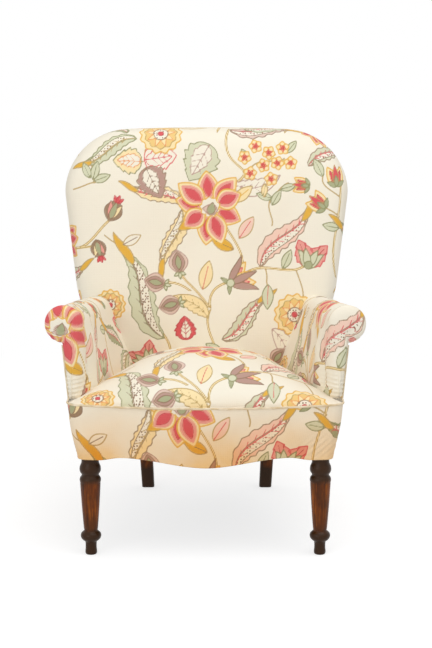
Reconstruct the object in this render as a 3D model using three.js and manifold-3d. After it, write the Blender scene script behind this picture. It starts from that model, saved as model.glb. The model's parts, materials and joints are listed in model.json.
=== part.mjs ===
// A low upholstered armchair: a tall back with round top corners, arms that roll outwards, a sprung seat over a
// bowed front border, two turned front legs and two raked rear legs that run on upwards as the back posts.
// Millimetres. X runs across the chair, Y from front to back, Z up. Every height is measured from the floor, and
// every depth from the middle of the front legs, until the last lines centre the chair on its own outline.
import * as THREE from "three";
import { mergeVertices } from "three/addons/utils/BufferGeometryUtils.js";
import Module from "manifold-3d";

const wasm = await Module();
wasm.setup();

// Cloth, stuffing and the space between pieces that touch
const gap = 0.4;
const meshTolerance = 0.03;
const cloth = 2;
const hessian = 1.6;
const cordRadius = 2.4;
const backRimPadding = 16;
const armPadding = 11;

// Seat frame and the front border
const borderHalfTop = 316;
const borderTaper = 22;
const borderHalfBottom = borderHalfTop - borderTaper;
const borderFrontY = -31;
const borderBow = 7;
const borderCorner = 24;
const borderSetback = 4;
const seatEdgeZ = 353;
const seatEdgeRise = 9;
const borderDipZ = 213;
const borderArchZ = 237;
const borderLegZ = 231;
const borderArchX = 195;
const railBottomZ = 243;
const railTopZ = 300;
const railThickness = 28;
const frontRailThickness = 36;
const frontRailLip = 12;
const wadding = 1.2;
const sideAir = 4;
const legBlock = 38;
const legBlockInset = 9;
const glueBlock = 46;

// Seat
const seatCrown = 86;
const domeFrontX = 300;
const domeBackX = 180;
const stuffingTaper = 14;
const seatBackZ = 370;
const outsideDepth = 8;
const springTopZ = 330;
const springRadius = 38;
const springWaist = 26;
const springTurns = 3;
const springWire = 1.9;
const springPitchX = 104;
const springPitchY = 128;
const springFirstY = 108;
const springRows = 3;
const strapWidth = 50;

// Rear posts and back
const postY = 535;
const rakeSlope = 0.19;
const rearHalfBottom = 206;
const rearHalfJoin = 320;
const postThickness = 32;
const postWidth = 36;
const postsFront = 6;
const rearFootY = 590;
const rearFootX = 155;
const rearFootWidth = 32;
const backTopZ = 943;
const backArchDrop = 4;
const backHalfMost = 368;
const backCorner = 165;
const backMostZ = backTopZ - backCorner + 7;
const shoulderHalf = 336;
const shoulderZ = 534;
const backBottomZ = 336;
const backJoinZ = 456;
const postJog = 40;
const postClear = 3;
const backBehind = 30;
const backCrownDepth = 62;
const crestHeight = 175;
const crestWidth = 52;
const stayRailZ = 350;
const stayRailHeight = 34;

// Arms
const armFrontY = 30;
const armNose = 14;
const rollNose = 28;
const neckSpread = 12;
const neckHalf = borderHalfTop + neckSpread;
const rollFrontX = neckHalf - 1.5;
const rollFrontZ = 535.5;
const rollFrontRadius = 43.5;
const rollBackX = 286;
const rollBackZ = 490;
const rollBackRadius = 38;
const armBackY = 480;
const neckZ = 486;
const armFootWidth = 28;
const flankFrontX = borderHalfTop - armFootWidth;
const flankBackX = 198;
const armTuckZ = 328;
const stumpThickness = 26;
const stumpMargin = 5;
const armBoardWidth = 34;
const armBoardThickness = 18;
const lowerRailZ = 346;
const lowerRailHeight = 26;
const lowerRailThickness = 15;

// Front leg: height up the leg and radius there, read down the turning from the cove under the seat to the foot
const legTopZ = 242;
const legTurning = [
  [20.5, 242],
  [20, 222],
  [21, 218],
  [24, 211],
  [24.8, 204],
  [23.5, 197],
  [20.2, 192],
  [20.6, 189],
  [24.2, 182],
  [24.6, 177],
  [23.9, 174],
  [23.4, 171],
  [16.4, 60],
  [15.6, 57],
  [17.5, 54.5],
  [23.2, 49],
  [23.8, 44],
  [21.5, 37],
  [14.6, 31],
  [13.4, 29],
  [12.9, 16],
  [13.6, 5],
  [12.8, 0],
];
const legFacets = 18;

const postTopZ = backTopZ - crestHeight;

const sides = [
  ["left", -1],
  ["right", 1],
];

const { lerp, clamp, smoothstep, degToRad } = THREE.MathUtils;
const point = (x, y, z) => new THREE.Vector3(x, y, z);
const range = (count) => Array.from({ length: count + 1 }, (_, i) => i / count);

// Solids

function solidOf(points, triangles) {
  const vertices = new Float32Array(points.flatMap((p) => [p.x, p.y, p.z]));
  const build = (faces) =>
    new wasm.Manifold(
      new wasm.Mesh({ numProp: 3, vertProperties: vertices, triVerts: new Uint32Array(faces.flat()) }),
    );
  const made = build(triangles);
  return made.volume() < 0 ? build(triangles.map(([a, b, c]) => [a, c, b])) : made;
}

function solidOfGeometry(geometry) {
  geometry.deleteAttribute("normal");
  geometry.deleteAttribute("uv");
  const merged = mergeVertices(geometry, 1e-3);
  const position = merged.getAttribute("position");
  const points = Array.from({ length: position.count }, (_, i) => point().fromBufferAttribute(position, i));
  const index = Array.from(merged.index.array);
  const triangles = Array.from({ length: index.length / 3 }, (_, i) => index.slice(3 * i, 3 * i + 3));
  const whole = triangles.filter(([a, b, c]) => a !== b && b !== c && c !== a);
  return solidOf(points, whole);
}

// The triangles that fill one ring, wound as the ring runs.
function fill(ring) {
  const normal = point(0, 0, 0);
  ring.forEach((p, i) => normal.add(p.clone().cross(ring[(i + 1) % ring.length])));
  const across = Math.abs(normal.x) > Math.max(Math.abs(normal.y), Math.abs(normal.z));
  const level = Math.abs(normal.z) > Math.max(Math.abs(normal.x), Math.abs(normal.y));
  const flat = ring.map((p) => {
    if (across) return [p.y, p.z];
    return level ? [p.x, p.y] : [p.x, p.z];
  });
  const area = THREE.ShapeUtils.area(flat.map(([x, y]) => new THREE.Vector2(x, y)));
  if (area > 0) return wasm.triangulate([flat]);
  const last = ring.length - 1;
  return wasm.triangulate([flat.reverse()]).map(([a, b, c]) => [last - c, last - b, last - a]);
}

// One closed solid through rings of the same number of points, with flat ends.
function loft(rings) {
  const count = rings[0].length;
  const triangles = [];
  for (let i = 0; i + 1 < rings.length; i++)
    for (let j = 0; j < count; j++) {
      const k = (j + 1) % count;
      const [a, b, c, d] = [i * count + j, i * count + k, (i + 1) * count + k, (i + 1) * count + j];
      triangles.push([a, b, c], [a, c, d]);
    }
  const last = (rings.length - 1) * count;
  fill(rings[0]).forEach(([a, b, c]) => triangles.push([a, c, b]));
  fill(rings.at(-1)).forEach(([a, b, c]) => triangles.push([last + a, last + b, last + c]));
  return solidOf(rings.flat(), triangles);
}

// One closed solid between two grids of the same size, such as the two faces of a cloth.
function slab(outer, inner) {
  const [rows, columns] = [outer.length, outer[0].length];
  const size = rows * columns;
  const at = (i, j) => i * columns + j;
  const triangles = [];
  const quad = (a, b, c, d) => triangles.push([a, b, c], [a, c, d]);
  for (let i = 0; i + 1 < rows; i++)
    for (let j = 0; j + 1 < columns; j++) {
      quad(at(i, j), at(i, j + 1), at(i + 1, j + 1), at(i + 1, j));
      quad(size + at(i, j), size + at(i + 1, j), size + at(i + 1, j + 1), size + at(i, j + 1));
    }
  const rim = [];
  for (let j = 0; j < columns; j++) rim.push(at(0, j));
  for (let i = 1; i < rows; i++) rim.push(at(i, columns - 1));
  for (let j = columns - 2; j >= 0; j--) rim.push(at(rows - 1, j));
  for (let i = rows - 2; i > 0; i--) rim.push(at(i, 0));
  rim.forEach((a, n) => {
    const b = rim[(n + 1) % rim.length];
    quad(b, a, size + a, size + b);
  });
  return solidOf([...outer.flat(), ...inner.flat()], triangles);
}

// A prism of a flat outline in X and Z, with its faces at two depths that may change with height.
function plate(outline, frontY, backY) {
  const face = (depth) => outline.map(([x, z]) => point(x, depth(z), z));
  return loft([face(frontY), face(backY)]);
}

// The largest piece of a cut solid, so that no loose sliver stays with it.
function largest(solid) {
  return solid.decompose().reduce((a, b) => (b.volume() > a.volume() ? b : a));
}

function without(solid, ...cutters) {
  return largest(cutters.reduce((rest, cutter) => rest.subtract(cutter), solid));
}

function boxBetween(low, high) {
  const size = high.clone().sub(low);
  const geometry = new THREE.BoxGeometry(size.x, size.y, size.z);
  const middle = low.clone().add(high).multiplyScalar(0.5);
  return solidOfGeometry(geometry.translate(middle.x, middle.y, middle.z));
}

// A round cord along points, with open bends rounded off by the curve.
function cordAlong(points, radius, steps, facets) {
  const turn = (i) => (2 * Math.PI * (i + 0.5)) / facets;
  const section = Array.from(
    { length: facets },
    (_, i) => new THREE.Vector2(radius * Math.cos(turn(i)), radius * Math.sin(turn(i))),
  );
  const path = new THREE.CatmullRomCurve3(points, false, "centripetal");
  const options = { steps, extrudePath: path, bevelEnabled: false };
  return solidOfGeometry(new THREE.ExtrudeGeometry(new THREE.Shape(section), options));
}

// Outside surface of the chair's sides

const upPost = (z) => postY + Math.max(0, z - railTopZ) * rakeSlope;
const rearFaceY = (z) => upPost(z) + backBehind;
const sideEdgeZ = seatEdgeZ + seatEdgeRise;
const between = (z, z0, z1, a, b) => lerp(a, b, (z - z0) / (z1 - z0));

function frontHalf(z) {
  if (z > sideEdgeZ) return between(z, sideEdgeZ, neckZ, borderHalfTop, neckHalf);
  return between(z, borderLegZ, sideEdgeZ, borderHalfBottom, borderHalfTop);
}

function rearHalf(z) {
  if (z > backJoinZ) return between(z, backJoinZ, shoulderZ, rearHalfJoin, shoulderHalf);
  return between(z, borderLegZ, backJoinZ, rearHalfBottom, rearHalfJoin);
}

function sideHalf(y, z) {
  const along = clamp((y - armFrontY) / (rearFaceY(z) - armFrontY), 0, 1);
  return lerp(frontHalf(z), rearHalf(z), along);
}

// Arms

// The closed section of one arm at a share of its length, drawn in by some amount, from its inner foot up the
// flank, over the roll and down the outside.
function armRing(share, side, inset, drawn) {
  const y = lerp(armFrontY, armBackY, share);
  const [centreX, centreZ] = [lerp(rollFrontX, rollBackX, share), lerp(rollFrontZ, rollBackZ, share)];
  const radius = lerp(rollFrontRadius, rollBackRadius, share) - inset - drawn.roll;
  const flankZ = lerp(seatEdgeZ, seatBackZ, share);
  const flankX = lerp(flankFrontX, flankBackX, share) + inset + drawn.flank;
  const [toX, toZ] = [centreX - flankX, centreZ - flankZ];
  const lean = Math.atan2(toX, toZ) - Math.asin(radius / Math.hypot(toX, toZ));
  const start = Math.PI - lean;
  const outside = (z) => sideHalf(y, z) - inset - drawn.flank;
  const overhang = clamp((outside(centreZ - radius) - centreX) / radius, -0.9, 0.98);
  const end = -Math.acos(overhang);
  const foot = frontHalf(borderLegZ) - flankFrontX + 2 * armPadding;
  const footX = outside(borderLegZ) - foot + 2 * (inset + drawn.flank);
  const ring = [point(side * footX, y, borderLegZ), point(side * flankX, y, flankZ)];
  range(12).forEach((turn) => {
    const angle = lerp(start, end, turn);
    ring.push(point(side * (centreX + radius * Math.cos(angle)), y, centreZ + radius * Math.sin(angle)));
  });
  ring.push(point(side * outside(sideEdgeZ), y, sideEdgeZ), point(side * outside(borderLegZ), y, borderLegZ));
  return ring;
}

const notDrawn = { roll: 0, flank: 0 };
const pastBack = (rearFaceY(backTopZ) - armFrontY) / (armBackY - armFrontY);

// One arm with a rounded front, drawn in by some amount on every side.
function armSolid(side, inset, deep = inset) {
  const nose = [0, 0.35, 0.7, 1].map((turn) => {
    const angle = (turn * Math.PI) / 2;
    const drawn = { roll: rollNose * (1 - Math.sin(angle)), flank: (armNose - 3) * (1 - Math.sin(angle)) };
    const back = armNose * (1 - Math.cos(angle));
    const ring = armRing(0, side, inset, drawn);
    return ring.map((p) => p.setY(armFrontY + back + deep));
  });
  const body = [0.25, 0.5, 0.75, 1, pastBack].map((share) => armRing(share, side, inset, notDrawn));
  return loft([...nose, ...body]);
}

// The space outside the side cloth and below the roll, which parts the outer cloth from the inner one.
function outsideZone(side, shift) {
  const reach = 3 * rollFrontRadius;
  const rings = range(6).map((share) => {
    const y = lerp(armFrontY + armNose + shift, rearFaceY(shoulderZ) + reach, share);
    const top = borderLegZ + (neckTopZ(y) - borderLegZ) - shift;
    const inside = (z) => side * (sideHalf(y, z) - outsideDepth + shift);
    const far = side * (neckHalf + reach);
    const low = borderLegZ - reach;
    return [point(inside(low), y, low), point(inside(top), y, top), point(far, y, top), point(far, y, low)];
  });
  return loft(rings);
}

function neckTopZ(y) {
  const share = (y - armFrontY) / (armBackY - armFrontY);
  const [centreX, centreZ] = [lerp(rollFrontX, rollBackX, share), lerp(rollFrontZ, rollBackZ, share)];
  const radius = lerp(rollFrontRadius, rollBackRadius, share);
  const overhang = clamp((sideHalf(y, centreZ - radius) - centreX) / radius, -0.9, 0.98);
  return centreZ - radius * Math.sqrt(1 - overhang ** 2);
}

// Back

function backHalf(z) {
  const join = rearHalf(backJoinZ) - cloth - sideAir;
  if (z < backJoinZ) return rearHalf(z) - cloth - sideAir;
  if (z < shoulderZ) return between(z, backJoinZ, shoulderZ, join, shoulderHalf);
  return between(z, shoulderZ, backMostZ, shoulderHalf, backHalfMost);
}

// The back's outline in X and Z, anticlockwise from the lower left, drawn in by some amount.
function backOutline(inset, bottomZ = backBottomZ + inset) {
  const right = [];
  const cornerX = backHalfMost - backCorner;
  const cornerZ = backTopZ - backArchDrop - backCorner;
  const low = [backBottomZ, lerp(backBottomZ, backJoinZ, 8 / 15), backJoinZ];
  const high = [shoulderZ, lerp(shoulderZ, cornerZ, 43 / 120), lerp(shoulderZ, cornerZ, 83 / 120)];
  [...low, ...high].forEach((z) => right.push([backHalf(z), z]));
  range(7).forEach((turn) => {
    const angle = (turn * Math.PI) / 2;
    right.push([cornerX + backCorner * Math.cos(angle), cornerZ + backCorner * Math.sin(angle)]);
  });
  right.push([cornerX / 2, backTopZ - backArchDrop / 4]);
  const left = right.map(([x, z]) => [-x, z]).reverse();
  const whole = [...right, [0, backTopZ], ...left];
  const moved = whole.map(([x, z], i) => {
    const [before, after] = [whole.at(i - 1), whole[(i + 1) % whole.length]];
    const normals = [
      [z - before[1], before[0] - x],
      [after[1] - z, x - after[0]],
    ].map(([a, b]) => [a / Math.hypot(a, b), b / Math.hypot(a, b)]);
    const facing = 1 + normals[0][0] * normals[1][0] + normals[0][1] * normals[1][1];
    const step = inset / facing;
    return [x - step * (normals[0][0] + normals[1][0]), z - step * (normals[0][1] + normals[1][1])];
  });
  moved[0][1] = moved.at(-1)[1] = bottomZ;
  return moved;
}

// How the padded back swells: how far each layer is drawn in from the outline, and its depth from the posts' line.
const backLayers = [
  [8, backBehind],
  [2, backBehind - 9],
  [0, 0],
  [5, -0.42 * backCrownDepth],
  [15, -0.68 * backCrownDepth],
  [34, -0.84 * backCrownDepth],
  [75, -0.94 * backCrownDepth],
  [140, -backCrownDepth],
];

function backSolid(inset) {
  const rings = backLayers.map(([drawn, depth]) => {
    const near = depth - Math.sign(depth) * inset;
    const outline = backOutline(drawn + inset, backBottomZ + inset);
    return outline.map(([x, z]) => point(x, upPost(z) + near, z));
  });
  return loft(rings);
}

const postsFrontY = (z) => upPost(z) - postsFront;
const postsBackY = (z) => upPost(z) - postsFront + postThickness;
const beyond = (z) => rearFaceY(z) + 200;

// Where the back's frame lies inside its padding.
function backFrameSpace(grown) {
  const front = (z) => postsFrontY(z) - hessian - gap - grown;
  const outline = backOutline(cloth + backRimPadding - grown, railTopZ);
  const low = [
    [-600, railTopZ],
    [600, railTopZ],
    [600, backJoinZ + grown],
    [-600, backJoinZ + grown],
  ];
  return plate(outline, front, beyond).add(plate(low, front, beyond));
}

const widePlate = [
  [-600, borderLegZ - 60],
  [600, borderLegZ - 60],
  [600, railTopZ],
  [600, backTopZ + 60],
  [-600, backTopZ + 60],
  [-600, railTopZ],
];
const behindPosts = plate(widePlate, (z) => postsFrontY(z) - gap, beyond);
const behindCovers = plate(widePlate, (z) => rearFaceY(z) - cloth - gap, beyond);

// Rear posts: the raked leg below the rails, then the post that follows the back's side.

function postSolid(side, grown) {
  const halfFoot = rearFootWidth / 2 + grown;
  const halfWidth = postWidth / 2 + grown;
  const halfDepth = postThickness / 2 + grown;
  const rim = cloth + backRimPadding + gap;
  const up = (z) => {
    const outer = z < backJoinZ ? rearHalf(z) - cloth - sideAir - 2 * gap : backHalf(z) - rim - postClear;
    return { x: outer - postWidth / 2, y: upPost(z) - postsFront + postThickness / 2 };
  };
  const rail = up(railBottomZ);
  const leg = [0, 0.33, 0.66].map((rise) => {
    const z = rise * railBottomZ;
    const bend = rise ** 2;
    const x = lerp(rearFootX, rail.x, bend);
    const y = lerp(rearFootY, rail.y, rise);
    const [a, b] = [lerp(halfFoot, halfWidth, rise), lerp(halfFoot, halfDepth, rise)];
    return { x, y, z, a, b };
  });
  const heights = [railBottomZ, railTopZ, stayRailZ, backJoinZ - postJog, backJoinZ, shoulderZ, lerp(shoulderZ, postTopZ, 53 / 117), postTopZ];
  const post = heights.map((z) => {
    return { ...up(Math.min(z, postTopZ)), z, a: halfWidth, b: halfDepth };
  });
  const stations = [...leg, ...post];
  stations[0].z -= grown;
  stations.at(-1).z += grown;
  const corner = 5;
  const rings = stations.map(({ x, y, z, a, b }) => {
    const ends = [
      [a, b - corner],
      [a - corner, b],
      [corner - a, b],
      [-a, b - corner],
      [-a, corner - b],
      [corner - a, -b],
      [a - corner, -b],
      [a, corner - b],
    ];
    return ends.map(([across, deep]) => point(side * (x + across), y + deep, z));
  });
  return loft(rings);
}

const postInnerX = (z) => rearHalf(z) - cloth - sideAir - 2 * gap - postWidth;

// Front border, its line round the seat and the rail behind it

function borderLine(inset, half, setback) {
  const [flat, radius] = [half - borderCorner, borderCorner - inset];
  const front = borderFrontY + setback;
  const sweep = range(5).map((turn) => {
    const angle = (turn * Math.PI) / 2;
    return [flat + radius * Math.cos(angle), front + borderCorner - radius * Math.sin(angle)];
  });
  const bow = [0.75, 0.5, 0.25].map((share) => {
    return [flat * share, front + inset - borderBow * (1 - share ** 2)];
  });
  const right = [[half - inset, armFrontY + armNose + 4], ...sweep, ...bow];
  const left = right.map(([x, y]) => [-x, y]).reverse();
  return [...right, [0, front + inset - borderBow], ...left];
}

function borderBottomZ(x) {
  const across = Math.abs(x);
  const rise = (borderArchZ - borderDipZ) * smoothstep(across, 0, borderArchX);
  const fall = (borderArchZ - borderLegZ) * smoothstep(across, borderArchX, borderArchX + 50);
  return borderDipZ + rise - fall;
}

const seatEdgeAt = (x) => seatEdgeZ + seatEdgeRise * (x / borderHalfTop) ** 2;

// The border's cloth from its seam down to its lower edge, or a solid of what lies inside it.
function borderGrid(inset, topDrop, bottomLift) {
  const top = borderLine(inset, borderHalfTop, 0);
  const bottom = borderLine(inset, borderHalfBottom, borderSetback);
  return range(3).map((share) =>
    top.map(([x, y], i) => {
      const [low, high] = [borderBottomZ(bottom[i][0]) + bottomLift, seatEdgeAt(x) - topDrop];
      return point(lerp(x, bottom[i][0], share), lerp(y, bottom[i][1], share), lerp(high, low, share));
    }),
  );
}

function insideBorder(inset) {
  const rows = borderGrid(inset, 0, -20);
  return loft(rows);
}

// Seat

const seatBackY = () => upPost(seatBackZ);

function seatFrontY(x, half, inset) {
  const over = Math.max(0, Math.abs(x) - (half - borderCorner));
  const round = borderCorner - Math.sqrt(Math.max(0, borderCorner ** 2 - over ** 2));
  const bow = borderBow * (1 - Math.min(1, Math.abs(x) / (half - borderCorner)) ** 2);
  return borderFrontY + inset - bow + round;
}

function seatTopZ(x, y) {
  const along = clamp((y - borderFrontY) / (seatBackY() - borderFrontY), 0, 1);
  const across = clamp(Math.abs(x) / domeHalf(y), 0, 1);
  const edge = lerp(seatEdgeAt(x), seatBackZ - 8, smoothstep(along, 0.1, 1));
  const swell = Math.max(0, Math.sin(Math.PI * along ** 0.62)) ** 0.9 + 0.12 * along;
  return edge + seatCrown * swell * (1 - across ** 2);
}

// The seat's dome is as wide as the border before the arms, and draws in between them.
function domeHalf(y) {
  const before = (y - borderFrontY) / (armFrontY - borderFrontY);
  const between = clamp((y - armFrontY) / (armBackY - armFrontY), 0, 1);
  return y < armFrontY ? lerp(borderHalfTop, domeFrontX, clamp(before, 0, 1)) : lerp(domeFrontX, domeBackX, between);
}

const seatColumns = [-1, -0.975, -0.93, -0.8, -0.7, -0.55, -0.37, -0.18, 0, 0.18, 0.37, 0.55, 0.7, 0.8, 0.93, 0.975, 1];
const seatRows = [0, 0.02, 0.055, 0.12, 0.25, 0.4, 0.55, 0.7, 0.85, 1];

function seatGrid(inset, height) {
  const half = borderHalfTop - inset;
  return seatRows.map((row) =>
    seatColumns.map((column) => {
      const x = column * half;
      const y = lerp(seatFrontY(x, half, inset), seatBackY(), row);
      return point(x, y, height(x, y));
    }),
  );
}

// The hessian over the springs: level in the middle and tacked down on the rails.
function canvasZ(x, y) {
  const half = sideHalf(y, railTopZ) - railThickness;
  const nearX = half - Math.abs(x);
  const nearY = Math.min(y - (borderFrontY + railThickness), postsFrontY(railTopZ) - y);
  return railTopZ + gap + (springTopZ - railTopZ) * smoothstep(Math.min(nearX, nearY), 0, 70);
}

// Pieces of the frame

const blockX = () => borderHalfBottom - legBlockInset - legBlock / 2;

function frontLeg(side) {
  const profile = legTurning.map(([radius, z]) => new THREE.Vector2(radius, z));
  const outline = [new THREE.Vector2(0, legTopZ), ...profile, new THREE.Vector2(0, 0)];
  const turned = new THREE.LatheGeometry(outline, legFacets).rotateX(Math.PI / 2);
  const solid = solidOfGeometry(turned.translate(side * blockX(), 0, 0));
  const half = legBlock / 2;
  const low = point(side * blockX() - half, -half, railBottomZ - 3);
  const block = boxBetween(low, point(side * blockX() + half, half, railTopZ));
  return solid.add(block.intersect(insideBorder(cloth + wadding + gap)));
}

function frontRail(grown) {
  const end = blockX() - legBlock / 2 - gap + grown;
  const rings = range(10).map((share) => {
    const x = lerp(-end, end, share);
    const face = (z) => {
      const low = clamp((seatEdgeAt(x) - z) / (seatEdgeAt(x) - borderBottomZ(x)), 0, 1);
      return seatFrontY(x, borderHalfTop, cloth + wadding) + borderSetback * low;
    };
    const bottomZ = borderBottomZ(x) + cloth + gap;
    const corners = [bottomZ, railTopZ].map((z) => point(x, face(z), z));
    const lip = face(railTopZ) + frontRailLip;
    const back = face(railTopZ) + frontRailThickness + grown;
    const rear = [point(x, back, railTopZ), point(x, back, railBottomZ)];
    return [...corners, ...rear, point(x, lip, railBottomZ), point(x, lip, bottomZ)];
  });
  return loft(rings);
}

// A rail along one side at some heights, with its outer face against the side cloth.
function sideRail(side, lowZ, highZ, thickness, startY, grown = 0) {
  const rings = range(4).map((share) => {
    const y = lerp(startY - grown, postY, share);
    const outer = (z) => side * (sideHalf(y, z) - cloth - sideAir + grown);
    const inner = (z) => side * (sideHalf(y, z) - cloth - sideAir - thickness - grown);
    const [low, high] = [lowZ - grown, highZ + grown];
    return [
      point(outer(low), y, low),
      point(outer(high), y, high),
      point(inner(high), y, high),
      point(inner(low), y, low),
    ];
  });
  return loft(rings);
}

function armBoard(side, grown) {
  const startY = armFrontY + armNose + stumpThickness + gap;
  const endY = upPost(rollBackZ);
  const half = armBoardWidth / 2 + grown;
  const rings = [startY - grown, endY].map((y) => {
    const share = (y - armFrontY) / (armBackY - armFrontY);
    const [x, z] = [lerp(rollFrontX, rollBackX, share) - 4, lerp(rollFrontZ, rollBackZ, share)];
    const thick = armBoardThickness / 2 + grown;
    const ends = [
      [-half, -thick],
      [half, -thick],
      [half, thick],
      [-half, thick],
    ];
    return ends.map(([across, up]) => point(side * (x + across), y, z + up));
  });
  return loft(rings);
}

// The space inside an arm's stuffing, in the arm's own section, from the front of its stump board.
function armCore(side, grown) {
  const inset = cloth + gap + armPadding - grown;
  const drawn = { roll: 0, flank: stumpMargin - armPadding };
  const front = armRing(0, side, inset, drawn).map((p) => p.setY(armFrontY + armNose - grown));
  return loft([front, ...[0.25, 0.5, 0.75, 1, pastBack].map((share) => armRing(share, side, inset, drawn))]);
}

// The scroll-shaped board at the front of an arm, standing on the side rail.
function armStump(side, grown) {
  const low = point(-600, -100, railTopZ + gap - grown);
  const high = point(600, armFrontY + armNose + stumpThickness + grown, backTopZ);
  return armCore(side, grown).intersect(boxBetween(low, high));
}

// Straps of webbing under the springs, woven over and under each other.

const strapXs = [-1, 0, 1].map((n) => n * springPitchX);
const strapYs = range(springRows - 1).map((share) => springFirstY + share * (springRows - 1) * springPitchY);
const weave = hessian / 2 + gap / 2;
const strapZ = railBottomZ - gap - hessian - weave;

function strap(from, to, crossings, place) {
  const half = strapWidth / 2;
  const edges = crossings.flatMap((at) => [at - half - 4, at + half + 4]);
  const stops = [from, ...edges, to];
  const rise = (i) => (i === 0 || i === stops.length - 1 ? 1 : 0);
  const top = stops.map((at, i) => {
    const crossing = Math.floor((i - 1) / 2);
    const up = rise(i) ? hessian / 2 + weave : weave * place.over(crossing);
    return [-half, half].map((across) => place.point(at, across, strapZ + up + hessian / 2));
  });
  const bottom = top.map((pair) => pair.map((p) => p.clone().setZ(p.z - hessian)));
  return slab(top, bottom);
}

function spring(x, y) {
  const low = strapZ + weave + hessian + gap + springWire;
  const high = springTopZ - gap - springWire;
  const points = range(springTurns * 8).map((share) => {
    const angle = share * springTurns * 2 * Math.PI;
    const radius = lerp(springWaist, springRadius, Math.abs(2 * share - 1));
    const level = lerp(low, high, smoothstep(share, 0.12, 0.88) * 0.5 + share * 0.5);
    return point(x + radius * Math.cos(angle), y + radius * Math.sin(angle), level);
  });
  return cordAlong(points, springWire, springTurns * 8, 4);
}

// Materials, with the colours of the chair

const material = (color, roughness) => new THREE.MeshStandardMaterial({ color, roughness, metalness: 0 });
const printedCloth = material(0xeae2cd, 0.85);
const polishedWood = material(0x4a2a18, 0.35);
const frameWood = material(0xb98f62, 0.7);
const jute = material(0xa98d5f, 0.95);
const horsehair = material(0x4a4038, 0.95);
const blackCotton = material(0x22211f, 0.95);
const springSteel = new THREE.MeshStandardMaterial({ color: 0x8a7f70, roughness: 0.45, metalness: 0.9 });

const chair = new THREE.Group();

function piece(name, solid, finish) {
  const made = largest(solid.asOriginal().simplify(meshTolerance)).getMesh();
  const corners = new Float32Array(made.numVert * 3);
  for (let i = 0; i < made.numVert; i++)
    corners.set(made.vertProperties.subarray(i * made.numProp, i * made.numProp + 3), i * 3);
  const geometry = new THREE.BufferGeometry();
  geometry.setAttribute("position", new THREE.BufferAttribute(corners, 3));
  geometry.setIndex(new THREE.BufferAttribute(new Uint32Array(made.triVerts), 1));
  geometry.computeVertexNormals();
  const mesh = new THREE.Mesh(geometry, finish);
  mesh.name = name;
  chair.add(mesh);
}

// Wooden frame

const arms = new Map(sides.map(([name, side]) => [name, armSolid(side, 0)]));
const grownArms = new Map(sides.map(([name, side]) => [name, armSolid(side, -gap)]));
const grownPosts = sides.map(([, side]) => postSolid(side, gap));
const grownBack = backSolid(-gap);
const grownLegs = sides.map(([, side]) => {
  const half = Math.max(legBlock / 2, legTurning[0][0]) + gap;
  return boxBetween(point(side * blockX() - half, -half, 0), point(side * blockX() + half, half, railTopZ + gap));
});
const railStartY = legBlock / 2 + gap;
const grownStumps = sides.map(([, side]) => armStump(side, gap));
const boardsThroughBack = sides.flatMap(([, side]) => [
  armBoard(side, gap),
  sideRail(side, lowerRailZ, lowerRailZ + lowerRailHeight, lowerRailThickness, armFrontY + armNose + stumpThickness, gap),
]);

for (const [name, side] of sides) {
  piece("front_leg_" + name, frontLeg(side), polishedWood);
  piece("rear_leg_" + name, postSolid(side, 0), polishedWood);
}
piece("seat_rail_front", frontRail(0), frameWood);

for (const [name, side] of sides) {
  const rail = sideRail(side, railBottomZ, railTopZ, railThickness, railStartY);
  piece("seat_rail_" + name, without(rail, ...grownPosts), frameWood);
}

function railBetweenPosts(lowZ, highZ) {
  const half = postInnerX(highZ) + postWidth / 2;
  const outline = [
    [-half, lowZ],
    [half, lowZ],
    [half, highZ],
    [-half, highZ],
  ];
  return without(plate(outline, postsFrontY, (z) => postsFrontY(z) + railThickness), ...grownPosts);
}
piece("seat_rail_back", railBetweenPosts(railBottomZ, railTopZ), frameWood);
piece("stay_rail_back", railBetweenPosts(stayRailZ, stayRailZ + stayRailHeight), frameWood);

function crestRail() {
  const rim = cloth + backRimPadding + gap;
  const aboveFrame = (inset) => backOutline(inset).filter(([, z]) => z > postTopZ + gap);
  const outer = aboveFrame(rim);
  const inner = aboveFrame(rim + crestWidth);
  const footZ = postTopZ + gap;
  const foot = (sign) => [
    [sign * (backHalf(footZ) - rim), footZ],
    [sign * (backHalf(footZ) - rim - crestWidth), footZ],
  ];
  const [outerRight, innerRight] = foot(1);
  const [outerLeft, innerLeft] = foot(-1);
  const outline = [outerRight, ...outer, outerLeft, innerLeft, ...inner.reverse(), innerRight];
  return plate(outline, postsFrontY, postsBackY);
}
piece("crest_rail", crestRail(), frameWood);

// Glue blocks in the corners of the seat frame
for (const [name, side] of sides) {
  const [top, bottom] = [railTopZ - 8, railBottomZ + 14];
  const neighbours = [sideRail(side, railBottomZ - 9, railTopZ + 9, railThickness + gap, 0), frontRail(gap)];
  const corner = (y, deep) => {
    const outer = sideHalf(y, railTopZ) - cloth - sideAir - railThickness / 2;
    const ring = (z) => [
      point(side * outer, y, z),
      point(side * outer, y + deep * (glueBlock + railThickness), z),
      point(side * (outer - glueBlock - railThickness), y, z),
    ];
    return loft([ring(bottom), ring(top)]);
  };
  const frontY = borderFrontY + frontRailThickness;
  const front = without(corner(frontY, 1), ...neighbours, ...grownLegs);
  piece("glue_block_front_" + name, front, frameWood);
  const back = without(corner(postsFrontY(railTopZ) - gap, -1), ...neighbours, ...grownPosts);
  piece("glue_block_back_" + name, back, frameWood);
}

// Arm frames
for (const [name, side] of sides) {
  piece("arm_stump_" + name, armStump(side, 0), frameWood);
  const startY = armFrontY + armNose + stumpThickness + gap;
  piece("arm_board_" + name, without(armBoard(side, 0), behindPosts), frameWood);
  const lower = sideRail(side, lowerRailZ, lowerRailZ + lowerRailHeight, lowerRailThickness, startY);
  piece("arm_lower_rail_" + name, without(lower, behindPosts), frameWood);
}

// Springs and webbing

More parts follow.
